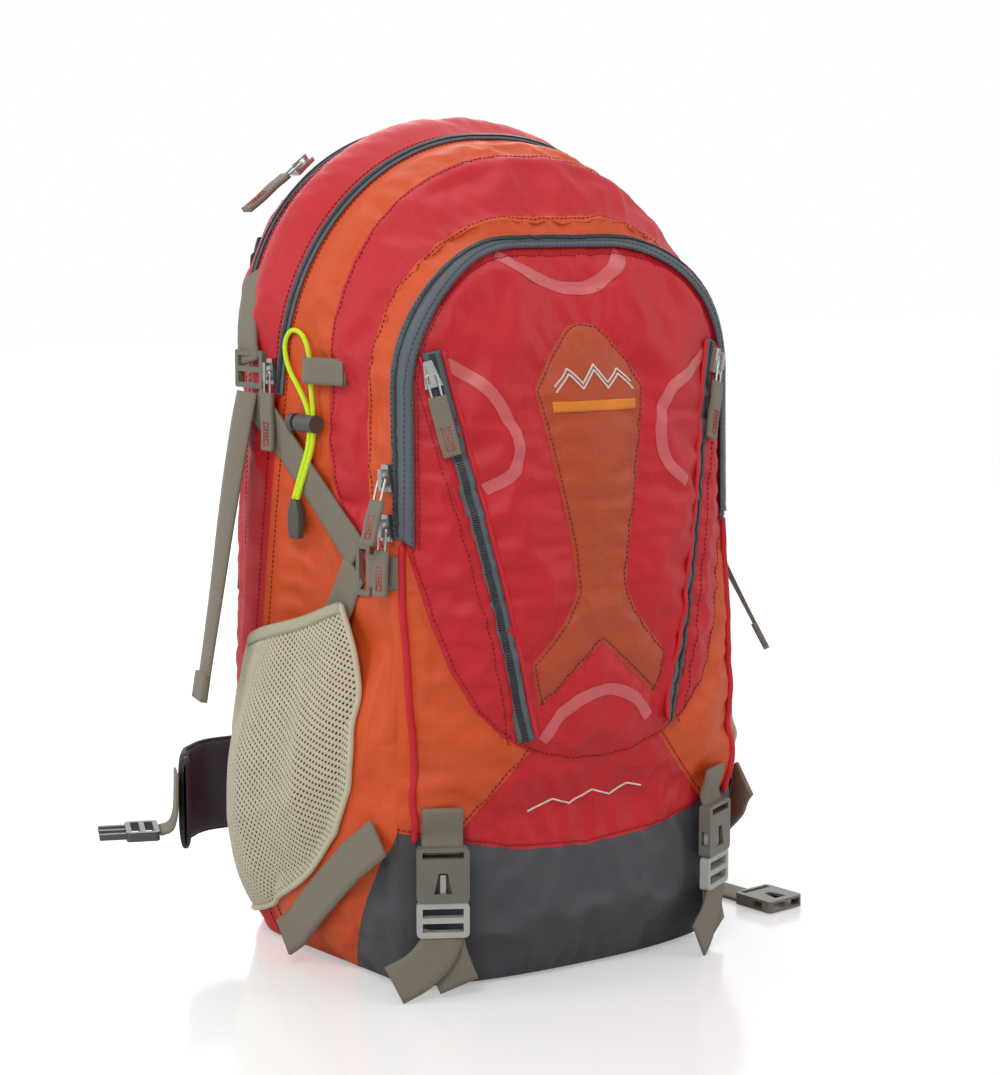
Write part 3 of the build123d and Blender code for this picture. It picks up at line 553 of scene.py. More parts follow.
# ---------------------------------------------------------------- cut and sewn panels
def sewn_mesh(outline, seams, spacing, place, region, finishes, name):
    """A cloth shell cut along its seams: flat outline and seam lines, then placed in space."""
    fixed, edges = [], []

    def add_line(points, closed=False):
        dense = []
        loop = points + [points[0]] if closed else points
        for a, b in zip(loop, loop[1:]):
            count = max(1, ceil((b - a).length / spacing))
            dense += [a.lerp(b, i / count) for i in range(count)]
        if not closed:
            dense.append(loop[-1])
        start = len(fixed)
        fixed.extend(dense)
        edges.extend((start + i, start + i + 1) for i in range(len(dense) - 1))
        if closed:
            edges.append((start + len(dense) - 1, start))
        return dense

    border = add_line([Vector(p) for p in outline], True)
    for line in seams:
        add_line([Vector(p) for p in line])
    near = point_tree([(*point, 0) for point in fixed])
    low = Vector((min(p.x for p in border), min(p.y for p in border)))
    high = Vector((max(p.x for p in border), max(p.y for p in border)))
    loose = []
    for row in range(int((high.y - low.y) / spacing) + 1):
        for column in range(int((high.x - low.x) / spacing) + 1):
            point = low + Vector((column + 0.5 * (row % 2), row)) * spacing
            if near.find((*point, 0))[2] > spacing * 0.55 and inside(point, border):
                loose.append(point)
    flat, _, triangles, *_ = delaunay_2d_cdt(fixed + loose, edges, [list(range(len(border)))], 0, 1e-4)
    bm = bmesh.new()
    held = bm.verts.layers.deform.verify()
    sheet = bm.loops.layers.uv.new("cloth")
    corners = [bm.verts.new(place(p.x, p.y)) for p in flat]
    for corner, p in zip(corners, flat):
        if near.find((*p, 0))[2] < 0.3:
            corner[held][0] = 1.0
    for triangle in triangles:
        if len(set(triangle)) < 3:
            continue
        centre = sum((flat[i] for i in triangle), Vector((0, 0))) / 3
        if not inside(centre, border):
            continue
        face = bm.faces.new([corners[i] for i in triangle])
        face.material_index = region(centre.x, centre.y)
        for loop, i in zip(face.loops, triangle):
            loop[sheet].uv = flat[i] * mm
    crease = bm.edges.layers.float.new("crease_edge")
    for edge in bm.edges:
        tones = {side.material_index for side in edge.link_faces}
        if len(tones) > 1 or edge.is_boundary:
            edge[crease] = 1.0
    piece = mesh_object(name, bm, [FINISH[label] for label in finishes], None)
    piece.vertex_groups.new(name="sewn")
    return piece


def inside(point, polygon):
    hit = False
    for a, b in zip(polygon, polygon[1:] + polygon[:1]):
        if (a.y > point.y) != (b.y > point.y):
            if point.x < a.x + (point.y - a.y) * (b.x - a.x) / (b.y - a.y):
                hit = not hit
    return hit


def hardware_tree():
    """Points of the hard pieces that lie on the cloth."""
    names = ["side_rings", "ladder_locks", "compartment_sliders", "front_slider_upper", "front_slider_lower"]
    names += [f"{piece}_{hand}" for _, hand in sides for piece in
              ("bungee_cord", "cord_lock", "pocket_slider", "base_buckle_female", "base_buckle_male")]
    return point_tree([v.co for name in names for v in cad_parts[name].data.vertices])


CLOTH = {
    "quality": 6, "mass": 0.15, "tension_stiffness": 18, "compression_stiffness": 12, "shear_stiffness": 6,
    "bending_stiffness": 0.05, "vertex_group_mass": "sewn", "use_pressure": True,
}
calm_reach, calm_least = 0.034, 0.06   # beside a zip the cloth lies flat
hardware_near, hardware_far = 0.006, 0.022   # and it stays under the hard pieces that lie on it


def billow(piece, pressure, slack, cap, calm_line=(), frames=18):
    """Cloth simulation: the panels billow and wrinkle between their sewn edges."""
    start = [v.co.copy() for v in piece.data.vertices]
    added = modifier(piece, "CLOTH")
    cloth = added.settings
    for key, value in CLOTH.items():
        setattr(cloth, key, value)
    cloth.shrink_min = -slack
    cloth.uniform_pressure_force = pressure
    cloth.effector_weights.gravity = 0
    added.collision_settings.use_collision = False
    scene = bpy.context.scene
    for step in range(1, frames + 1):
        scene.frame_set(step)
    applied(piece)
    scene.frame_set(1)
    calm = point_tree(calm_line)
    for vertex, was in zip(piece.data.vertices, start):
        move = vertex.co - was
        if calm_line:
            move *= calm_least + (1 - calm_least) * ease(calm.find(was)[2] / calm_reach)
            vertex.co = was + move
        limit = cap * clamp((under.find(was)[2] - hardware_near) / hardware_far)
        if move.length > limit:
            vertex.co = was + move.normalized() * limit


def pucker(piece, seam_lines, depth, reach, pitch, seed):
    """Short creases that run out from each sewn line."""
    samples = []
    walked = 0.0
    for line in seam_lines:
        for a, b in zip(line, line[1:]):
            samples.append((a, walked))
            walked += (b - a).length
        walked += 0.05
    tree = point_tree([point for point, _ in samples])
    mesh = piece.data
    normals = [v.normal.copy() for v in mesh.vertices]
    for vertex, normal in zip(mesh.vertices, normals):
        _, index, distance = tree.find(vertex.co)
        if distance > 5 * reach:
            continue
        wave = noise.noise(Vector((samples[index][1] / pitch, distance / (4 * pitch), seed)))
        groove = -0.9 * exp(-distance / 0.0022)
        folds = 1.5 * wave * exp(-distance / reach) * (1 - exp(-distance / 0.003))
        vertex.co += normal * depth * (folds + groove)


# Wrap-around shell: flat coordinates are (turn * WRAP, run).
def leg_line(points, side):
    """Seam given as (height, run) down one leg."""
    return [(side * turn_at(z, run) * WRAP, run) for z, run in points]


seam_one_leg = [(leg_top, seam_one_run), (330, 155), (300, 166), (275, 186), (252, front_run - 2)]
seam_two_leg = [(leg_top, seam_two_run), (350, 191), (310, 198), (280, 208), (252, front_run - 2)]
boot_leg = {1: [(103, front_run), (80, 214), (50, 200), (24, 186), (foot_z, 174)],
            -1: [(103, front_run), (78, 213), (46, 197), (20, 183), (foot_z, 172)]}


def across_top(leg, run):
    left = leg_line(list(reversed(leg)), -1)
    right = leg_line(leg, 1)
    start, stop = left[-1][0], right[0][0]
    middle = [(start + (stop - start) * i / 40, run) for i in range(1, 40)]
    return left + middle + right


def level_at(leg, x, side):
    """Run of a leg seam at the flat coordinate x."""
    flat = leg_line(leg, side)
    flat.sort()
    for (x0, r0), (x1, r1) in zip(flat, flat[1:]):
        if x0 <= x <= x1:
            return r0 + (r1 - r0) * (x - x0) / (x1 - x0)
    return None


def wrap_region(x, run):
    side = 1 if x >= 0 else -1
    boot = level_at(boot_leg[side], x, side)
    if boot is not None and run > boot:
        return 2
    if run < main_zip_run:
        return 0
    one = level_at(seam_one_leg, x, side)
    two = level_at(seam_two_leg, x, side)
    top = abs(x) < turn_at(leg_top, seam_one_run) * WRAP
    one = seam_one_run if one is None and top else one
    two = seam_two_run if two is None and abs(x) < turn_at(leg_top, seam_two_run) * WRAP else two
    if one is None or two is None:
        return 1
    return 0 if one < run < two else 1


def wrap_place(x, run):
    return arch_point(x / WRAP, run)


def build_wrap():
    outline = [(-WRAP, 0), (WRAP, 0), (WRAP, front_run), (-WRAP, front_run)]
    held = [[(-WRAP, run + shift), (WRAP, run + shift)] for run in (rear_zip_run, main_zip_run)
            for shift in (-5.5, 5.5)]
    lines = [
        [(-WRAP, rear_zip_run), (WRAP, rear_zip_run)],
        [(-WRAP, main_zip_run), (WRAP, main_zip_run)],
        across_top(seam_one_leg, seam_one_run),
        across_top(seam_two_leg, seam_two_run),
        leg_line(boot_leg[1], 1),
        leg_line(boot_leg[-1], -1),
        [(side * turn_at(band_foot, band_run) * WRAP, band_run) for side in (-1, 1)],
    ]
    held.append([(side * turn_at(band_foot, band_run) * WRAP, band_run + 2.2) for side in (-1, 1)])
    piece = sewn_mesh(outline, lines + held, 5.5, wrap_place, wrap_region, ["red", "orange", "boot"], "bag_wrap")
    zips = [wrap_place(*p) for line in lines[:2] for p in dense_line(line, 3.0)]
    billow(piece, pressure=1.8, slack=0.06, cap=0.0075, calm_line=zips)
    subdivided(piece)
    applied(piece)
    shown = [[wrap_place(*p) for p in dense_line(line, 3.0)] for line in lines]
    pucker(piece, shown[2:], depth=0.0013, reach=0.012, pitch=0.010, seed=3.0)
    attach(piece, "pack")
    return belong(piece, "main_compartment"), lines


def dense_line(points, spacing):
    points = [Vector(p) for p in points]
    result = []
    for a, b in zip(points, points[1:]):
        count = max(1, ceil((b - a).length / spacing))
        result += [tuple(a.lerp(b, i / count)) for i in range(count)]
    result.append(tuple(points[-1]))
    return result


# Front face: flat coordinates are (x, z).
def mirrored_line(half):
    """Full seam from its right half, which starts on the middle line."""
    return [(-x, z) for x, z in reversed(half[1:])] + half


face_arch = [(face_half, 371), (116, 398), (107, 421), (91, 440), (68, 452), (34, 457), (0, 458)]
u_seam_half = [(0, 139), (22, 141), (44, 148), (64, 160), (82, 178), (96, 203), (107, 235), (face_half, 283)]
base_half = [(0, 84), (48, 87), (85, 95), (face_half, 103)]
panel_half = [(-2, 409), (9, 407), (24, 391), (38, 370), (32, 340), (26, 310), (19, 275), (16, 248),
              (24, 231), (36, 216), (46, 205), (43, 190), (39, 177)]
notch_half = [(-2, 215), (19, 196), (39, 177)]
panel_middle = -2   # the amber panel is set a little to the left
low_side = [(46, 149), (66, 124), (90, 96)]
zip_run_line = [(105, 380), (53, 156)]


band_foot, band_back, band_inset = 282.0, 4.5, 6.0
band_run = front_run - band_back


band_end = 1 - (band_foot - foot_z) / arch_length(face_half, face_apex, face_radius)


def face_edge(turn, inset):
    """Place beside the edge of the front face, as (x, z)."""
    return arch_xz(face_half - inset, face_apex - inset, face_radius - inset, turn)


def band_inner(inset=band_inset, count=40):
    """Line beside the edge of the front face, under the front zip's band."""
    return [face_edge(band_end * (2 * index / count - 1), inset) for index in range(count + 1)]


def build_face():
    right = [(face_half, foot_z)] + face_arch
    outline = right + [(-x, z) for x, z in reversed(right[:-1])]
    panel = panel_half + notch_half[-2::-1]
    panel += [(2 * panel_middle - x, z) for x, z in notch_half[1:]]
    panel += [(2 * panel_middle - x, z) for x, z in reversed(panel_half[:-1])]
    u_seam = mirrored_line(u_seam_half)
    base = mirrored_line(base_half)
    low_right, low_left = low_side, [(-x, z) for x, z in low_side]
    u_area = [Vector(p) for p in u_seam] + [Vector((face_half + 9, 470)), Vector((-face_half - 9, 470))]
    panel_area = [Vector(p) for p in panel[:-1]]
    base_area = [Vector(p) for p in base] + [Vector((face_half + 9, -9)), Vector((-face_half - 9, -9))]
    low_area = [Vector(p) for p in low_right + [(90, 40), (-90, 40)] + low_left[::-1]]

    def region(x, z):
        point = Vector((x, z))
        if inside(point, base_area):
            return 3
        if inside(point, panel_area):
            return 2
        if inside(point, u_area) or inside(point, low_area):
            return 0
        return 1

    lines = [u_seam, base, panel, low_right, low_left, band_inner()]
    zips = [zip_run_line, [(-x, z) for x, z in zip_run_line]]
    piece = sewn_mesh(outline, lines + zips + [band_inner(2.9)], 5.0, face_point, region,
                      ["red", "orange", "amber", "boot"], "front_face")
    billow(piece, pressure=1.5, slack=0.055, cap=0.0065)
    subdivided(piece)
    applied(piece)
    shown = [[face_point(*p) for p in dense_line(line, 3.0)] for line in lines + zips]
    pucker(piece, shown, depth=0.0012, reach=0.010, pitch=0.009, seed=7.0)
    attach(piece, "pack")
    return belong(piece, "front_pocket"), lines, zips


def shell_tree(piece):
    return BVHTree.FromPolygons([v.co for v in piece.data.vertices], [p.vertices for p in piece.data.polygons])


bag_middle = Vector((0, 0.05, 0.28))


def lay(tree, point, lift=0.0):
    """Nearest point on a shell, lifted off it, and the shell's outward direction there."""
    place, normal, *_ = tree.find_nearest(point)
    if normal.dot(place - bag_middle) < 0:
        normal = -normal
    return place + normal * lift, normal


def on_side(side, y, z, lift=0.0):
    """Point on the bag's side at depth y and height z (mm), lift (mm) off the cloth."""
    hit = side_tree.ray_cast(Vector((side * 0.3, y * mm, z * mm)), Vector((-side, 0, 0)))[0]
    if hit is None:
        hit = Vector((side * 0.12, y * mm, z * mm))
    return hit + Vector((side * lift * mm, 0, 0))


def on_face(x, z, lift=0.0):
    """Point on the front face at x and height z (mm), lift (mm) off the cloth."""
    hit = face_tree.ray_cast(Vector((x * mm, -0.3, z * mm)), Vector((0, 1, 0)))[0]
    if hit is None:
        hit = face_point(x, z)
    return hit + Vector((0, -lift * mm, 0))


# ---------------------------------------------------------------- strips, tubes and pads
def mapped_grid(name, columns, rows, place, finish_name, body, size=(1, 1), thick=0.0, weld=False, pick=None):
    """A grid laid out by place(u, v), u and v from 0 to 1, with cloth coordinates in metres."""
    bm = bmesh.new()
    bmesh.ops.create_grid(bm, x_segments=columns, y_segments=rows, size=0.5)
    cloth = bm.loops.layers.uv.new("cloth")
    flat = {}
    for corner in bm.verts:
        flat[corner] = (corner.co.x + 0.5, corner.co.y + 0.5)
    for side in bm.faces:
        for loop in side.loops:
            u, v = flat[loop.vert]
            loop[cloth].uv = (u * size[0], (v - 0.5) * size[1])
        if pick:
            u, v = (sum(flat[c][axis] for c in side.verts) / len(side.verts) for axis in (0, 1))
            side.material_index = pick(u, v)
    for corner in bm.verts:
        corner.co = place(*flat[corner])
    if weld:
        bmesh.ops.remove_doubles(bm, verts=bm.verts, dist=1e-5)
    bm.normal_update()
    labels = finish_name if isinstance(finish_name, (list, tuple)) else [finish_name]
    piece = mesh_object(name, bm, [FINISH[label] for label in labels], body)
    if thick:
        solid_cloth(piece, thick)
        applied(piece)
        with_body(piece, body)
    return piece


def with_body(piece, body):
    for polygon in piece.data.polygons:
        polygon.use_smooth = True
    if body:
        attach(piece, body)


def frames(points):
    """Unit directions along a line of points."""
    last = len(points) - 1
    return [(points[min(i + 1, last)] - points[max(i - 1, 0)]).normalized() for i in range(len(points))]


def nearest(share, count):
    """Number of the row at a share of the way along."""
    return min(int(round(share * count)), count)


def square_to(way, along):
    """The part of a direction that stands square to a line."""
    return (way - along * way.dot(along)).normalized()


def ribbon(name, points, across, width, body, thickness=1.5, step=3.0, waist=0.0, cup=0.0):
    """Webbing along a line. across gives its width direction at a share of its length."""
    count = max(6, int(line_length(points) / mm / step))
    line = smooth_line(points, count + 1)
    along = frames(line)

    def place(u, v):
        index = nearest(u, count)
        side_way = square_to(across(u), along[index])
        half = (v - 0.5) * width * mm * (1 - waist * sin(pi * u))
        bow = along[index].cross(side_way) * (4 * (v - 0.5) ** 2) * cup * mm
        return line[index] + side_way * half + bow

    return mapped_grid(name, count, 6, place, "webbing", body, (line_length(line), width * mm),
                       thick=thickness * mm)


def fixed_across(direction):
    way = Vector(direction).normalized()
    return lambda u: way


def turning_across(start, stop):
    start, stop = Vector(start).normalized(), Vector(stop).normalized()
    return lambda u: start.lerp(stop, ease(u)).normalized()


def tube(name, points, radius, body, finish_name, step=2.5, closed=False, round_count=10):
    """Round piping, cord or wire along a line of points in metres."""
    count = max(6, int(line_length(points) / mm / step))
    line = smooth_line(points, count + 1)
    along = frames(line)
    if closed:
        along[0] = along[-1] = (line[1] - line[-2]).normalized()
    first = along[0].orthogonal().normalized()
    sides_way = [first]
    for direction in along[1:]:
        sides_way.append(square_to(sides_way[-1], direction))

    def place(u, v):
        index = nearest(u, count)
        ring = 0.02 if index in (0, count) and not closed else 1.0
        a = sides_way[index]
        b = along[index].cross(a)
        angle = 2 * pi * v
        return line[index] + (a * cos(angle) + b * sin(angle)) * radius * mm * ring

    return mapped_grid(name, count, round_count, place, finish_name, body,
                       (line_length(line), 2 * pi * radius * mm), weld=True)


def add_block(bm, centre, way, normal, size):
    """A small box that lies along way, with its top along normal."""
    turned = Matrix((way, normal.cross(way).normalized(), normal)).transposed().to_4x4()
    turned.translation = centre
    bmesh.ops.create_cube(bm, size=1.0, matrix=turned @ Matrix.Diagonal((*size, 1)))


def stitch_rows(name, rows, body, finish_name="thread", length=2.0, gap=1.3, radius=0.32):
    """Rows of thread. Each row is a list of (point, normal) along the sewn line."""
    bm = bmesh.new()
    for row in rows:
        walked, needed = 0.0, 0.0
        for (a, na), (b, nb) in zip(row, row[1:]):
            step = (b - a).length
            if step < 1e-7:
                continue
            way = (b - a) / step
            while walked + step >= needed:
                share = (needed - walked) / step
                centre, normal = a.lerp(b, share), na.lerp(nb, share).normalized()
                add_block(bm, centre, way, normal, (length * mm, 2 * radius * mm, 1.6 * radius * mm))
                needed += (length + gap) * mm
            walked += step
    return mesh_object(name, bm, [FINISH[finish_name]], body, smooth=False)


def zip_tape(name, line, normals, body, width=9.0, coil_width=3.6):
    """A zip: two tapes and the coil between them, along a line of points with outward normals."""
    count = len(line) - 1
    along = frames(line)

    def place(u, v):
        index = nearest(u, count)
        across = normals[index].cross(along[index]).normalized()
        return line[index] + across * (v - 0.5) * width * mm - normals[index] * abs(v - 0.5) * 1.2 * mm

    tape = mapped_grid(name, count, 4, place, "tape", body, (line_length(line), width * mm), thick=0.9 * mm)
    bm = bmesh.new()
    pitch = 1.5 * mm
    walked, needed = 0.0, pitch
    for index in range(count):
        step = (line[index + 1] - line[index]).length
        while step and walked + step >= needed:
            share = (needed - walked) / step
            normal = normals[index]
            centre = line[index].lerp(line[index + 1], share) + normal * 0.8 * mm
            add_block(bm, centre, along[index], normal, (0.95 * mm, coil_width * mm, 1.1 * mm))
            needed += pitch
        walked += step
    coil = mesh_object(name + "_coil", bm, [FINISH["coil"]], body, smooth=False)
    return tape, coil


# ---------------------------------------------------------------- seams, zips and trims of the bag
def sewn_row(points, place, tree, shift):
    """Points and normals of a row of thread that runs beside a flat seam line."""
    flat = [Vector(p) for p in dense_line(points, 2.5)]
    row = []
    for index, point in enumerate(flat):
        way = (flat[min(index + 1, len(flat) - 1)] - flat[max(index - 1, 0)]).normalized()
        beside = point + Vector((-way.y, way.x)) * shift
        row.append(lay(tree, place(beside.x, beside.y), 0.25 * mm))
    return row


def build_threads():
    rows = [sewn_row(line, wrap_place, side_tree, shift) for line in wrap_lines[:2] for shift in (-6.5, 6.5)]
    rows += [sewn_row(line, wrap_place, side_tree, 2.6) for line in wrap_lines[2:4]]
    rows += [sewn_row(line, face_point, face_tree, shift) for line, shift in
             ((face_lines[0], 2.8), (face_lines[2], -2.4), (face_lines[1], 2.4), (face_lines[3], 2.4),
              (face_lines[4], -2.4), (face_lines[5], -2.2))]
    rows += [sewn_row(line, face_point, face_tree, shift) for line in face_zips for shift in (-7.5, 7.5)]
    stitch_rows("seam_threads", rows, "pack")


def build_wrap_zips():
    for name, run, foot in (("rear_zip", rear_zip_run, 425), ("main_zip", main_zip_run, 362)):
        reach = turn_at(foot, run) * WRAP
        flat = dense_line([(-reach, run), (reach, run)], 3.0)
        laid = [lay(side_tree, wrap_place(*p), 1.8 * mm) for p in flat]
        tape, coil = zip_tape(name, [p for p, _ in laid], [n for _, n in laid], "pack", width=8.0, coil_width=3.2)
        if name == "main_zip":
            belong(tape, "compartment_zips")
        belong(coil)


def band_share(place):
    """The band is narrower over the top than down its legs."""
    return 0.72 + 0.28 * ease((abs(place) - 0.25) / 0.4)


def build_front_zip():
    profile = [(-band_back, 0), (-3.2, 0), (-1.8, 0), (-0.5, 0), (0, 1.0), (0, 3.2), (0, band_inset)]

    def place(u, v):
        turn = band_end * (2 * u - 1)
        back, inset = (step * band_share(turn / band_end) for step in profile[int(round(v * 6))])
        return arch_point(turn, front_run + back) if back < 0 else face_point(*face_edge(turn, inset))

    band = mapped_grid("front_zip_band", 150, 6, place, "tape", "pack", (0.55, 0.02))
    flip_outward(band, Vector((0, 0.05, 0.3)))
    for vertex, normal in [(v, v.normal.copy()) for v in band.data.vertices]:
        vertex.co += normal * 2.0 * mm
    modifier(band, "SOLIDIFY", thickness=1.0 * mm, offset=0.0)
    applied(band)
    with_body(band, "pack")
    belong(band, "front_zip")
    turns = [band_end * (2 * i / 180 - 1) for i in range(181)]
    line = [arch_point(turn, front_run - 2.4 * band_share(turn / band_end)) for turn in turns]
    normals = [lay(side_tree, point)[1] for point in line]
    line = [point + normal * 2.6 * mm for point, normal in zip(line, normals)]
    zip_tape("front_zip_run", line, normals, "pack", width=3.6, coil_width=2.4)
    edges = []
    for back, inset in ((-3.9, 0), (0, 1.2), (0, 5.2)):
        row = []
        for turn in turns:
            share = band_share(turn / band_end)
            if back:
                point = arch_point(turn, front_run + back * share)
            else:
                point = face_point(*face_edge(turn, inset * share))
            normal = lay(side_tree if back else face_tree, point)[1]
            row.append((point + normal * 2.7 * mm, normal))
        edges.append(row)
    stitch_rows("band_threads", edges, "pack", "coil", radius=0.25)


def flip_outward(piece, centre):
    """Turn the faces so that they look away from a point inside."""
    mesh = piece.data
    if sum(p.normal.dot(p.center - centre) for p in mesh.polygons) < 0:
        mesh.flip_normals()
    mesh.update()


def build_pocket_zips():
    for side, hand in sides:
        top = Vector((side * 104.4, -87.4, 394)) * mm
        foot = Vector((side * 54.6, -114.6, 158)) * mm
        line, normals = [], []
        for index in range(81):
            point = top.lerp(foot, index / 80)
            cloth = on_face(point.x / mm, point.z / mm)
            point.y = min(point.y + 0.0005, cloth.y - 0.0008)
            line.append(point)
            normals.append(lay(face_tree, cloth)[1])
        tape, coil = zip_tape(f"pocket_zip_{hand}", line, normals, "pack", width=11.0, coil_width=4.0)
        belong(tape, once(side, "pocket_zips"))
        for place, shift in (("inner", -7.2), ("outer", 7.2)):
            along = frames(line)
            lip = [p + n.cross(a).normalized() * shift * mm - n * 0.6 * mm
                   for p, n, a in zip(line, normals, along)]
            belong(tube(f"pocket_welt_{place}_{hand}", lip[::4], 1.5, "pack", "red"))


def build_trims():
    for side, hand in sides:
        line = [lay(face_tree, face_point(side * (face_half - 9 * ease((275 - z) / 150)), z), 1.2 * mm)[0]
                for z in range(280, 92, -8)]
        belong(tube(f"side_piping_{hand}", line, 2.3, "pack", "red"))
        edge = [arch_point(side * (1 - i / 60), 0) + Vector((0, 0.6, 0)) * mm for i in range(61)]
        belong(tube(f"back_piping_{hand}", edge, 2.2, "pack", "backing", step=5))


def build_back_panel():
    half, apex, radius = arches[0][3:]
    outline = [arch_xz(half, apex, radius, 1 - i / 40) for i in range(41)]
    outline += [(-x, z) for x, z in reversed(outline[:-1])]

    def place(x, z):
        return Vector((x * taper(z), 147.5 + 2 * clamp(1 - hypot(x / half, (z - 250) / 260)), z)) * mm

    panel = sewn_mesh(outline, [], 11.0, place, lambda x, z: 0, ["backing"], "back_panel")
    panel.data.flip_normals()
    flip_outward(panel, Vector((0, 0, 0.25)))
    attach(panel, "pack")
    belong(panel)


def build_underside():
    """Bottom of the grey boot, closed from the feet of the shells."""
    bm = bmesh.new()
    ring = [arch_point(1, run) for run in range(0, 226, 6)]
    ring += [face_point(x, foot_z) for x in range(114, -115, -6)]
    ring += [arch_point(-1, run) for run in range(222, -1, -6)]
    centre = sum(ring, Vector()) / len(ring)
    inner = [centre + (point - centre) * 0.9 for point in ring]
    outer_loop = [bm.verts.new(point) for point in ring]
    inner_loop = [bm.verts.new(Vector((p.x, p.y, 0.0006))) for p in inner]
    rims = [bm.edges.new((a, b)) for loop in (outer_loop, inner_loop) for a, b in
            zip(loop, loop[1:] + loop[:1])]
    bmesh.ops.bridge_loops(bm, edges=rims)
    bmesh.ops.contextual_create(bm, geom=inner_loop)
    bmesh.ops.recalc_face_normals(bm, faces=bm.faces)
    piece = mesh_object("boot_underside", bm, [FINISH["boot"]], "pack", smooth=False)
    belong(piece, "base_boot")


# ---------------------------------------------------------------- side pockets
def coons(u, v, foot, top, front, back):
    """Patch between four border lines: u from the front to the back, v from the foot to the top."""
    def at(line, share):
        share *= len(line) - 1
        index = min(int(share), len(line) - 2)
        return Vector(line[index]).lerp(Vector(line[index + 1]), share - index)
    sheet = at(foot, u) * (1 - v) + at(top, u) * v + at(front, v) * (1 - u) + at(back, v) * u
    corners = (Vector(foot[0]) * (1 - u) * (1 - v) + Vector(foot[-1]) * u * (1 - v)
               + Vector(top[0]) * (1 - u) * v + Vector(top[-1]) * u * v)
    return sheet - corners


def smooth_flat(points, count=40):
    return [(p.x, p.y) for p in smooth_line([Vector((y, z, 0)) for y, z in points], count)]


pocket_foot = smooth_flat([(-38, 98), (-8, 66), (26, 44), (62, 26), (98, 16)])
pocket_top = smooth_flat([(-24, 238), (0, 227), (24, 219), (46, 213), (66, 206)])
pocket_front = smooth_flat([(-38, 98), (-50, 128), (-52, 165), (-43, 205), (-24, 238)])
pocket_back = smooth_flat([(98, 16), (96, 60), (88, 110), (76, 162), (66, 206)])


def pocket_point(side, u, v, lift=0.0):
    y, z = coons(clamp(u), clamp(v), pocket_foot, pocket_top, pocket_front, pocket_back)
    edge = min(1.0, 3.4 * min(u, 1 - u)) ** 0.7
    floor_part = min(1.0, 3.0 * v) ** 0.7
    belly = 20 * edge * floor_part * (1 - 0.45 * max(0, v - 0.55) / 0.45)
    folds = 2.6 * sin(9 * u + 4.2 * v + side) * sin(pi * u) * (0.35 + v)
    folds += 1.8 * noise.noise(Vector((u * 5, v * 2.2, 4.0 + side))) * edge
    point = on_side_smooth(side, y, z)
    point.x += side * (2.0 + belly + folds * edge) * mm
    cloth = abs(on_side(side, y, z).x) + 1.6 * mm
    point.x = side * (max(abs(point.x), cloth) + lift * mm)
    return point


side_cache = {}


def on_side_smooth(side, y, z):
    """Design surface of the side, without the cloth's creases, read between points 6 mm apart."""
    step = 6.0
    row, column = int(y // step), int(z // step)
    a, b = y / step - row, z / step - column
    corners = []
    for i, j in ((0, 0), (1, 0), (0, 1), (1, 1)):
        key = (side, row + i, column + j)
        if key not in side_cache:
            side_cache[key] = side_design(side, key[1] * step, key[2] * step).x
        corners.append(side_cache[key])
    reach = (corners[0] * (1 - a) + corners[1] * a) * (1 - b) + (corners[2] * (1 - a) + corners[3] * a) * b
    return Vector((reach, y * mm, z * mm))


def side_design(side, y, z):
    low, high = 0.0, float(front_run)
    for _ in range(14):
        middle = (low + high) / 2
        if arch_point(side * turn_at(z, middle), middle).y > y * mm:
            low = middle
        else:
            high = middle
    return arch_point(side * turn_at(z, low), low)


knit_columns, knit_rows, yarn_share, hole_corner = 34, 38, 0.0038, 0.0052


def build_mesh_pockets():
    """Open knit: a staggered grid of round holes, with a gathered hem at the mouth."""
    for side, hand in sides:
        bm = bmesh.new()
        bmesh.ops.create_grid(bm, x_segments=knit_columns, y_segments=knit_rows, size=0.5)
        old = list(bm.edges)
        bmesh.ops.poke(bm, faces=bm.faces)
        bmesh.ops.dissolve_edges(bm, edges=[e for e in old if len(e.link_faces) == 2], use_verts=False)
        cells = list(bm.faces)
        bmesh.ops.inset_individual(bm, faces=cells, thickness=yarn_share, use_even_offset=True)
        bmesh.ops.delete(bm, geom=cells, context="FACES")
        rim = [e for e in bm.edges if e.is_boundary]
        inner = {v for e in rim for v in e.verts if max(abs(v.co.x), abs(v.co.y)) < 0.4999}
        bmesh.ops.bevel(bm, geom=list(inner), offset=hole_corner, segments=1, profile=0.5, affect="VERTICES",
                        material=-1)
        for corner in bm.verts:
            corner.co = pocket_point(side, corner.co.x + 0.5, corner.co.y + 0.5)
        bm.normal_update()
        knit = mesh_object(f"pocket_knit_{hand}", bm, [FINISH["yarn"]], "pack")
        solid_cloth(knit, 0.9 * mm)
        applied(knit)
        with_body(knit, "pack")
        belong(knit, f"side_mesh_pocket_{hand}")
        hem = mapped_grid(f"pocket_hem_{hand}", 60, 4,
                          lambda u, v: pocket_point(side, u, 1.0 - 0.045 * v, 0.8 + 1.2 * sin(pi * v)),
                          "hem", "pack", (0.16, 0.012), thick=1.0 * mm)
        belong(hem)
        borders = [pocket_point(side, 0, i / 24, 0.6) for i in range(24, -1, -1)]
        borders += [pocket_point(side, i / 24, 0, 0.6) for i in range(1, 25)]
        borders += [pocket_point(side, 1, i / 24, 0.6) for i in range(1, 25)]
        belong(tube(f"pocket_binding_{hand}", borders, 2.0, "pack", "yarn"))


# ---------------------------------------------------------------- webbing
plumb = Vector((0, 0, -1))


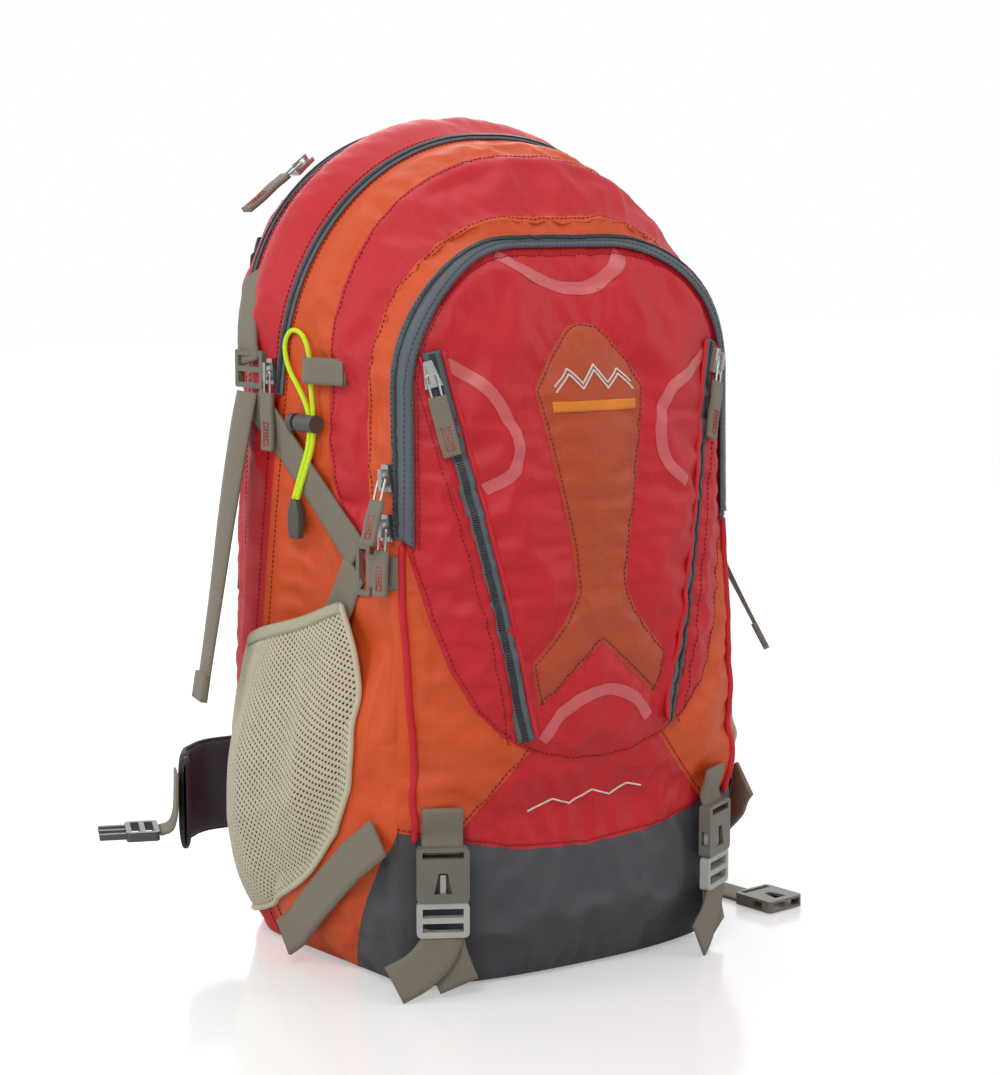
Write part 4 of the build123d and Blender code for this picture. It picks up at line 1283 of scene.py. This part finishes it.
def lying_strap(side, start, stop, lift, width=25.0, count=14):
    """Line of a strap pulled straight over the bag's side from (y, z) to (y, z)."""
    start, stop = Vector((0, *start)), Vector((0, *stop))
    way = (stop - start).normalized()
    across = Vector((0, way.z, -way.y))
    reach = []
    for index in range(count + 1):
        centre = start.lerp(stop, index / count)
        spots = [centre + across * width * share for share in (-0.45, 0, 0.45)]
        reach.append(max(abs(on_side(side, p.y, p.z).x) for p in spots))
    for _ in range(3):
        reach = [max(x, (reach[max(i - 1, 0)] + reach[min(i + 1, count)]) / 2) for i, x in enumerate(reach)]
    line = []
    for index, x in enumerate(reach):
        centre = start.lerp(stop, index / count) * mm
        line.append(Vector((side * (x + lift * mm), centre.y, centre.z)))
    return line, across


def strap_box(name, centre, along, normal, half_width, half_length, body):
    """A sewn box with a cross, as (point, normal) rows on a strap's face."""
    across = normal.cross(along).normalized()

    def spot(a, b):
        return (centre + along * a * half_length * mm + across * b * half_width * mm, normal)

    box = [spot(-1, -1), spot(1, -1), spot(1, 1), spot(-1, 1), spot(-1, -1)]
    stitch_rows(name, [box, [spot(-1, -1), spot(1, 1)], [spot(-1, 1), spot(1, -1)]], body, "mark", 1.4, 0.8, 0.25)


def strap(name, line, across, width=25, body="pack", node=None, **more):
    """A webbing strap that lies flat along a line."""
    return belong(ribbon(name, line, fixed_across(across), width, body, **more), node)


side_cos, side_sin = 0.9924, 0.1230   # direction of the side plane, seen from above


def build_straps():
    for side, hand in sides:
        out = Vector((side * side_cos, -side_sin, 0))
        # upper compression strap, from the ladder lock to the ring
        run, across = lying_strap(side, (62, 356), (-38, 268), 1.4)
        strap(f"compression_strap_{hand}", run, across, node=once(side, "compression_straps"), waist=0.12)
        anchor = [on_side(side, 88, 436, 1.4), on_side(side, 80, 412, 2.2), on_side(side, 74, 392, 3.2),
                  on_side(side, 71, 380, 3.6)]
        strap(f"ladder_anchor_{hand}", anchor, (0, 1, -0.3), thickness=2.2)
        # lower strap: from the ring, behind the knit, to the seam
        low, across = lying_strap(side, (-36, 260), (62, 128), 1.0)
        strap(f"lower_strap_{hand}", low, across, node=once(side, "compression_straps_lower"))
        tab = [side_level(side, y, 261, lift) for y, lift in ((-50, 2.6), (-55, 2.8))]
        tab += [on_side(side, -66, 261, 2.4), face_point(side * 119.5, 262, 1.0)]
        strap(f"ring_tab_{hand}", tab, up, 20, node=once(side, "ring_tabs"), thickness=3.0)
        # loose end below the ladder lock
        top = Vector((side * 146.5, 70, 361.8)) * mm
        lean = Vector((side * 0.12, 0.14, 0)) if side < 0 else Vector((0.05, -2.1, 0))
        hang = []
        swing = 1.0 if side < 0 else 1.5
        for outwards, down in ((0, 0), (5, 26), (13, 78), (20, 132), (29, 196)):
            drop = down if side < 0 else down * 0.93
            hang.append(top + out * outwards * swing * mm + plumb * drop * mm + lean * down * 0.25 * mm)
        last_across = (0.25, 1, 0.1) if side < 0 else (0.6, 1, 0.1)
        loose = ribbon(f"hanging_strap_{hand}", hang, turning_across((0, 1, 0.1), last_across), 25, "pack", 1.5,
                       cup=1.2)
        belong(loose, f"hanging_strap_{hand}")
        hem_way = (hang[-1] - hang[-2]).normalized()
        hem_line = [hang[-1] - hem_way * 17 * mm, hang[-1] - hem_way * 8 * mm, hang[-1]]
        strap(f"strap_hem_{hand}", hem_line, last_across, 25.4, thickness=4.2)
        # loop strap at the foot
        loop_run, across = lying_strap(side, (-74, 101), (12, 25), 1.6)
        loop_run.append(loop_run[-1] + Vector((side * 5, 9, -8)) * mm)
        strap(f"foot_strap_{hand}", loop_run, across, node=once(side, "lower_loop_straps"), thickness=2.6)
        # bungee tab folded round the cord
        fold = [side_level(side, y, 379, lift) for y, lift in ((-27, 1.2), (-14, 1.6), (0, 2.2), (5, 2.4))]
        for angle in (-60, -20, 20, 60):
            fold.append(side_level(side, 5.4 + 2.6 * cos(radians(angle)), 379, 5.4 + 3.0 * sin(radians(angle))))
        fold += [side_level(side, y, 379, lift) for y, lift in ((2, 8.8), (-8, 7.4), (-20, 4.4), (-27, 3.0))]
        strap(f"bungee_tab_{hand}", fold, up, 16, node=once(side, "bungee_tabs"), step=1.2)


def side_plane(side, along, z, lift):
    """Place (mm) on the flat side plane that carries the cord: along it from y = 66, lift off it."""
    return Vector((side * (139 + side_sin * along + side_cos * lift), 66 + side_cos * along - side_sin * lift, z))


def side_level(side, y, z, lift):
    """Point on the side plane at depth y and height z (mm), in metres."""
    return side_plane(side, (y - 66) * 1.00765, z, lift) * mm


face_across = Vector((0.8813, 0.4726, 0))
face_out = Vector((0.4726, -0.8813, 0))


def base_spot(side, across, up_z, lift):
    """Point by a base buckle: across and up from its middle (mm), lift off its plane."""
    origin = Vector((50, -117, 0))
    point = origin + face_across * (50 * 1.1347 + across) + face_out * (3.8 + lift)
    return Vector((side * point.x, point.y, 62 + up_z)) * mm


def build_base_straps():
    for side, hand in sides:
        way = Vector((side * face_across.x, face_across.y, 0))
        normal = Vector((side * face_out.x, face_out.y, 0))
        anchor = [base_spot(side, 0, *place) for place in ((57, 1.5), (48, 1.5), (40, 2.2), (29, 3.2))]
        for index, spot in enumerate(anchor[:3]):
            gaps = []
            for shift in (-11, 0, 11):
                cloth = on_face((spot.x + way.x * shift * mm) / mm, spot.z / mm, 1.6)
                gaps.append((cloth - spot - way * shift * mm).dot(normal))
            anchor[index] = spot + normal * max(gaps)
        strap(f"base_anchor_{hand}", anchor, way, node=once(side, "base_strap_anchors"), thickness=2.6)
        plug = f"base_plug_{hand}"
        outer, inner = ([base_spot(side, shift * side, height, lift) for shift, height, lift in run] for run in (
            ((0, -20, 5.0), (-4, -31, 5.4), (-15, -43, 6.0), (-30, -51, 7.0)),
            ((0, -20, 2.0), (2, -32, 1.8), (6, -44, 1.4), (10, -54, 1.6))))
        strap(f"base_tail_{hand}", outer, way, 25, plug, f"base_strap_tail_{hand}")
        strap(f"base_web_{hand}", inner, way, 25, plug)


# ---------------------------------------------------------------- harness on the back
def pad_strip(name, points, across, width, thickness, body, node, labels, taper_ends=0.12):
    """Foam strip with rounded edges along a line, spacer mesh on its inner face."""
    count = max(12, int(line_length(points) / mm / 5))
    line = smooth_line(points, count + 1)
    along = frames(line)

    def place(u, v):
        index = nearest(u, count)
        side_way = square_to(across(u), along[index])
        out = side_way.cross(along[index])
        angle = 2 * pi * v
        c, s = cos(angle), sin(angle)
        shape_c = (abs(c) ** 0.45) * (1 if c >= 0 else -1)
        shape_s = (abs(s) ** 0.75) * (1 if s >= 0 else -1)
        end = min(1.0, min(u, 1 - u) / taper_ends + 0.02) ** 0.45
        quilt = 1 - 0.18 * exp(-((u * 6) % 1 - 0.5) ** 2 / 0.01)
        return (line[index] + side_way * shape_c * width / 2 * mm * (0.86 + 0.14 * end)
                + out * shape_s * thickness / 2 * mm * end * quilt)

    piece = mapped_grid(name, count, 28, place, labels, body, (line_length(line), 2 * width * mm),
                        weld=True, pick=lambda u, v: 0 if v < 0.5 else 1)
    flip_outward(piece, sum(line, Vector()) / len(line))
    belong(piece, node)
    for edge, share in (("a", 0.5), ("b", -0.5)):
        rim = []
        for index in range(2, count - 1, 2):
            side_way = square_to(across(index / count), along[index])
            rim.append(line[index] + side_way * share * (width - 1) * mm)
        belong(tube(f"{name}_binding_{edge}", rim, 1.7, body, "backing"))


def build_back_pads():
    half, apex, foot, radius = 94.0, 480.0, 100.0, 70.0

    def half_at(z):
        if z < apex - radius:
            return half
        rise = min(z - (apex - radius), radius - 0.01)
        return half - radius + (radius ** 2 - rise ** 2) ** 0.5

    def place(u, v):
        z = foot + (apex - foot) * v
        x = (2 * u - 1) * half_at(z)
        to_edge = min(half_at(z) - abs(x), z - foot, apex - z)
        fill = clamp(to_edge / 12) ** 0.5
        channel = 1 - 0.85 * exp(-(x / 12) ** 4)
        quilt = 1 - 0.35 * exp(-(((z - foot) % 76) - 38) ** 2 / 14)
        return Vector((x, 154.8 + 13.2 * fill * channel * quilt, z)) * mm

    pad = mapped_grid("back_pad_cover", 64, 110, place, "spacer", "pack", (0.188, 0.38))
    pad.data.flip_normals()
    flip_outward(pad, Vector((0, 0, 0.3)))
    solid_cloth(pad, 1.2 * mm)
    applied(pad)
    with_body(pad, "pack")
    belong(pad, "back_pad")
    lumbar = [Vector((x, 164.8 + 1.5 * (abs(x) / 95) ** 2, 69)) * mm for x in (-95, -48, 0, 48, 95)]
    pad_strip("lumbar_cushion", lumbar, fixed_across(up), 56, 14, "pack", "lumbar_pad", ["spacer", "backing"])
    for side, hand in sides:
        shoulder = [Vector((side * x, y, z)) * mm for x, y, z in
                    ((60, 175, 458), (57, 186, 424), (55, 193, 390), (55, 196, 360), (55, 198, 325),
                     (57, 198, 290), (64, 194, 228), (69, 188, 198))]
        pad_strip(f"shoulder_pad_{hand}", shoulder, fixed_across((1, 0, 0)), 50, 12, "pack",
                  f"shoulder_strap_{hand}", ["spacer", "wing"])
        wing = [Vector((side * x, y, 85)) * mm for x, y in
                ((100, 163), (118, 164.5), (135, 163.5), (149, 154), (158, 145), (170, 120))]
        pad_strip(f"hip_wing_pad_{hand}", wing, fixed_across(up), 62, 8.5, f"hip_wing_{hand}",
                  f"hip_belt_wing_{hand}", ["wing", "spacer"], 0.06)
    haul = [Vector((x, 159.3, z)) * mm for x, z in
            ((-34, 482), (-30, 494), (-22, 504), (-10, 507.6), (10, 507.6), (22, 504), (30, 494), (34, 482))]
    strap("haul_handle", haul, (0, 1, 0), 14, node="haul_loop", thickness=3.0, step=2.0)


def build_harness_webbing():
    for side, hand in sides:
        lower = [Vector((side * 69, y, z)) * mm for y, z in
                 ((182.6, 184), (181, 160), (176.6, 130), (173.2, 92), (173.1, 62))]
        strap(f"shoulder_web_{hand}", lower, (1, 0, 0), node=once(side, "shoulder_webbing"))
    low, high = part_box("sternum_straps")
    level = (low.y + high.y) / 2
    female_low, female_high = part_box("sternum_buckle_female")
    male_low, male_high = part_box("sternum_buckle_male")
    for hand, start, stop in (("right", female_high.x - 0.002, high.x), ("left", male_low.x + 0.002, low.x)):
        line = [Vector((start + (stop - start) * share, level, 0.33 - 0.001 * sin(pi * share)))
                for share in (0, 0.33, 0.66, 1)]
        strap(f"sternum_web_{hand}", line, up, 20, node="sternum_straps" if hand == "right" else None)
    ends = {
        "left": ((0.93, 0.36), [(5.6, 108), (6.0, 92), (6.8, 80), (10, 71.5), (17.6, 69)], -1),
        "right": ((0.127, -0.992), [(-4, 72), (-2.5, 62), (1.6, 44), (6, 28), (11, 14), (19, 5), (34, 2.0),
                                    (80, 1.5), (150, 1.5)], 1),
    }
    for hand, (heading, drape, side) in ends.items():
        heading = Vector((*heading, 0)).normalized()
        line = []
        for reach, z in drape:
            point = Vector((170, 120, 0)) + heading * reach
            line.append(Vector((side * point.x, point.y, z)) * mm)
        across = Vector((side * heading.y, -heading.x, 0))
        strap(f"belt_web_{hand}", line, across, 25, f"hip_wing_{hand}", f"hip_belt_webbing_{hand}")


# ---------------------------------------------------------------- zip pulls
def build_pull(name, node, pivot, axis, down, reach, body, thickness=3.0):
    """Wire ring through the slider, then a folded webbing tab sewn with a box."""
    pivot, axis, down = Vector(pivot) * mm, Vector(axis).normalized(), Vector(down).normalized()
    out = axis.cross(down).normalized()
    wide, long, corner = 3.0, 17.4, 1.8
    loop_points = []
    for x, y, start in ((wide - corner, corner, -90), (wide - corner, long - corner, 0),
                        (corner - wide, long - corner, 90), (corner - wide, corner, 180)):
        for step in range(4):
            angle = radians(start + 30 * step)
            loop_points.append(pivot + axis * (x + corner * cos(angle)) * mm
                               + down * (y + corner * sin(angle)) * mm)
    loop_points.append(loop_points[0].copy())
    belong(tube(f"{name}_wire", loop_points, 0.8, body, "metal", 0.9, True, 8))
    tab = [pivot + down * y * mm + out * 0.25 * sin(y * 0.3) * mm
           for y in (13.5, 19, 25, (25 + reach) / 2, reach)]
    grip = ribbon(f"{name}_tab", tab, fixed_across(axis), 11, body, thickness, 1.6, waist=-0.05)
    belong(grip, node)
    centre = pivot + down * (reach - 10.5) * mm
    flip = 1 if out.dot(pivot - Vector((0, 0.03, pivot.z))) > 0 else -1
    strap_box(f"{name}_threads", centre + out * flip * (thickness / 2 + 0.1) * mm, down, out * flip, 2.4, 7, body)


def build_pulls():
    for side, hand in sides:
        build_pull(f"pocket_pull_web_{hand}", f"pocket_pull_{hand}", (side * 107.61, -91.84, 380.97),
                   (-0.8522 * side, -0.457, 0.2547), (-0.2245 * side, -0.1204, -0.967), 50,
                   f"pocket_pull_{hand}")
    band_out = Vector((-0.9806, -0.1961, 0))
    for place, z, tilt in (("upper", 319, 18), ("lower", 289, 4)):
        down = band_out * sin(radians(tilt)) + plumb * cos(radians(tilt))
        build_pull(f"front_pull_web_{place}", f"front_pull_{place}", (-129.15, -71.32, z),
                   (-0.1961, 0.9806, 0), down, 41, f"front_pull_{place}", 2.4)
    build_pull("main_pull_web", "main_pull", (-144.21, 45.05, 376.0), (-0.123, 0.9924, 0), (0, 0, -1), 50,
               "main_pull")
    build_pull("rear_pull_web", "rear_pull", (-93.46, 92.0, 506.3), (0, 1, 0), (-0.788, 0, -0.6157), 50,
               "rear_pull")


# ---------------------------------------------------------------- bungee cords
def build_cords():
    route = [(-47.14, 298), (-55.95, 316), (-64.75, 333), (-65.15, 352), (-62.47, 370), (-62.07, 388),
             (-55.47, 401), (-42.47, 404), (-34.47, 394), (-38.47, 379), (-52.47, 365), (-61.15, 352),
             (-60.75, 334), (-51.95, 316), (-43.54, 298)]
    for side, hand in sides:
        curve = bpy.data.curves.new(f"bungee_{hand}", "CURVE")
        curve.dimensions = "3D"
        spline = curve.splines.new("NURBS")
        spline.points.add(len(route) - 1)
        for target, (u, z) in zip(spline.points, route):
            point = side_plane(side, u, z, cord_plane) * mm
            target.co = (*point, 1)
        spline.order_u = 3
        spline.use_endpoint_u = True
        spline.resolution_u = 8
        curve.bevel_depth = 0.0015
        curve.bevel_resolution = 4
        curve.use_fill_caps = True
        cord = bpy.data.objects.new(f"bungee_{hand}", curve)
        bpy.context.scene.collection.objects.link(cord)
        curve.materials.append(FINISH["cord"])
        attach(cord, "pack")
        belong(cord, f"bungee_cord_{hand}")
        end = build_cord_end(side, hand)


def build_cord_end(side, hand):
    """Moulded end that both legs of the cord are crimped into."""
    bm = bmesh.new()
    bmesh.ops.create_cube(bm, size=1.0)
    bmesh.ops.subdivide_edges(bm, edges=bm.edges, cuts=4, use_grid_fill=True)
    level, out = Vector((side * side_sin, side_cos, 0)), Vector((side * side_cos, -side_sin, 0))
    middle = side_plane(side, -45.34, 285, cord_plane)
    for corner in bm.verts:
        x, y, z = corner.co * 2
        round_off = 1 - 0.16 * (abs(x) ** 4 * abs(z) ** 4) - 0.1 * abs(y) ** 4
        neck = 1 - 0.42 * ease((z - 0.2) / 0.8)
        point = level * x * 6.2 * neck * round_off + out * y * 3.2 * round_off + up * z * 12.2
        corner.co = (middle + point) * mm
    bmesh.ops.recalc_face_normals(bm, faces=bm.faces)
    piece = mesh_object(f"cord_end_{hand}", bm, [FINISH["dark"]], "pack")
    subdivided(piece)
    applied(piece)
    with_body(piece, "pack")
    return belong(piece, once(side, "cord_ends"))


# ---------------------------------------------------------------- film arcs and marks on the face
def face_strip(name, line, width, finish_name, lift, thick):
    """Flat film or label that follows the front face along (x, z) points."""
    flat = smooth_line([Vector((x, z, 0)) for x, z in line], 49)
    along = frames(flat)

    def place(u, v):
        index = nearest(u, 48)
        across = Vector((-along[index].y, along[index].x, 0))
        spot = flat[index] + across * (v - 0.5) * width
        return on_face(spot.x, spot.y, lift)

    strip = mapped_grid(name, 48, 4, place, finish_name, None, (line_length(flat) * mm, width * mm))
    flip_outward(strip, Vector((0, 0.1, 0.3)))
    if thick:
        solid_cloth(strip, thick * mm)
        applied(strip)
    with_body(strip, "pack")
    belong(strip)


def build_face_marks():
    arcs = {
        "top": [(-50, 450), (-33, 439), (-14, 431), (-2, 429), (12, 430), (28, 439), (42, 450)],
        "left": [(-96, 387), (-78, 375), (-64, 356), (-58, 336), (-64, 321), (-78, 312)],
        "right": [(96, 387), (78, 377), (57, 366), (46, 344), (50, 322), (66, 309)],
        "foot": [(-43, 157), (-30, 174), (-12, 184), (5, 185), (22, 178), (35, 164)],
    }
    for name, line in arcs.items():
        face_strip(f"film_arc_{name}", line, 7.5, "arc", 0.35, 0)
    face_strip("plain_label", [(x, 359.5) for x in (-33, -10, 10, 27)], 6.4, "label", 0.5, 0.6)
    peaks = [(-30, 372), (-21, 382), (-12, 373), (-3, 384), (6, 373), (15, 381), (25, 372)]
    trail = [(-42, 110), (-26, 116), (-12, 111), (4, 118), (18, 113), (30, 119), (41, 116)]
    rows = []
    for line in (peaks, trail, [(x, z - 3.2) for x, z in peaks]):
        rows.append([(on_face(x, z, 0.5), Vector((0, -1, 0))) for x, z in dense_line(line, 1.5)])
    stitch_rows("embroidery", rows, "pack", "pale_thread", 1.6, 0.25, 0.5)


# ---------------------------------------------------------------- carried-over hardware
HARDWARE = {
    "grey": ["base_buckle_female_left", "base_buckle_female_right", "ladder_locks", "side_rings",
             "shoulder_locks", "sternum_buckle_female", "waist_buckle_female"],
    "light": ["base_buckle_male_left", "base_buckle_male_right"],
    "dark": ["cord_lock_left", "cord_lock_right", "cord_button_left", "cord_button_right",
             "sternum_buckle_male", "waist_buckle_male"],
    "metal": ["pocket_slider_left", "pocket_slider_right", "front_slider_upper", "front_slider_lower",
              "compartment_sliders"],
    "sheet": ["frame_sheet"],
    "stay": ["frame_stays"],
}


def dress_hardware():
    for label, names in HARDWARE.items():
        for name in names:
            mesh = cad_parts[name].data
            mesh.materials.clear()
            mesh.materials.append(FINISH[label])
            for polygon in mesh.polygons:
                polygon.material_index = 0


studio()
build_cords()
under = hardware_tree()
wrap, wrap_lines = build_wrap()
face, face_lines, face_zips = build_face()
side_tree, face_tree = shell_tree(wrap), shell_tree(face)
for build in (build_threads, build_wrap_zips, build_front_zip, build_pocket_zips, build_trims, build_back_panel,
              build_underside, build_mesh_pockets, build_straps, build_base_straps, build_back_pads,
              build_harness_webbing, build_pulls, build_face_marks, dress_hardware):
    build()
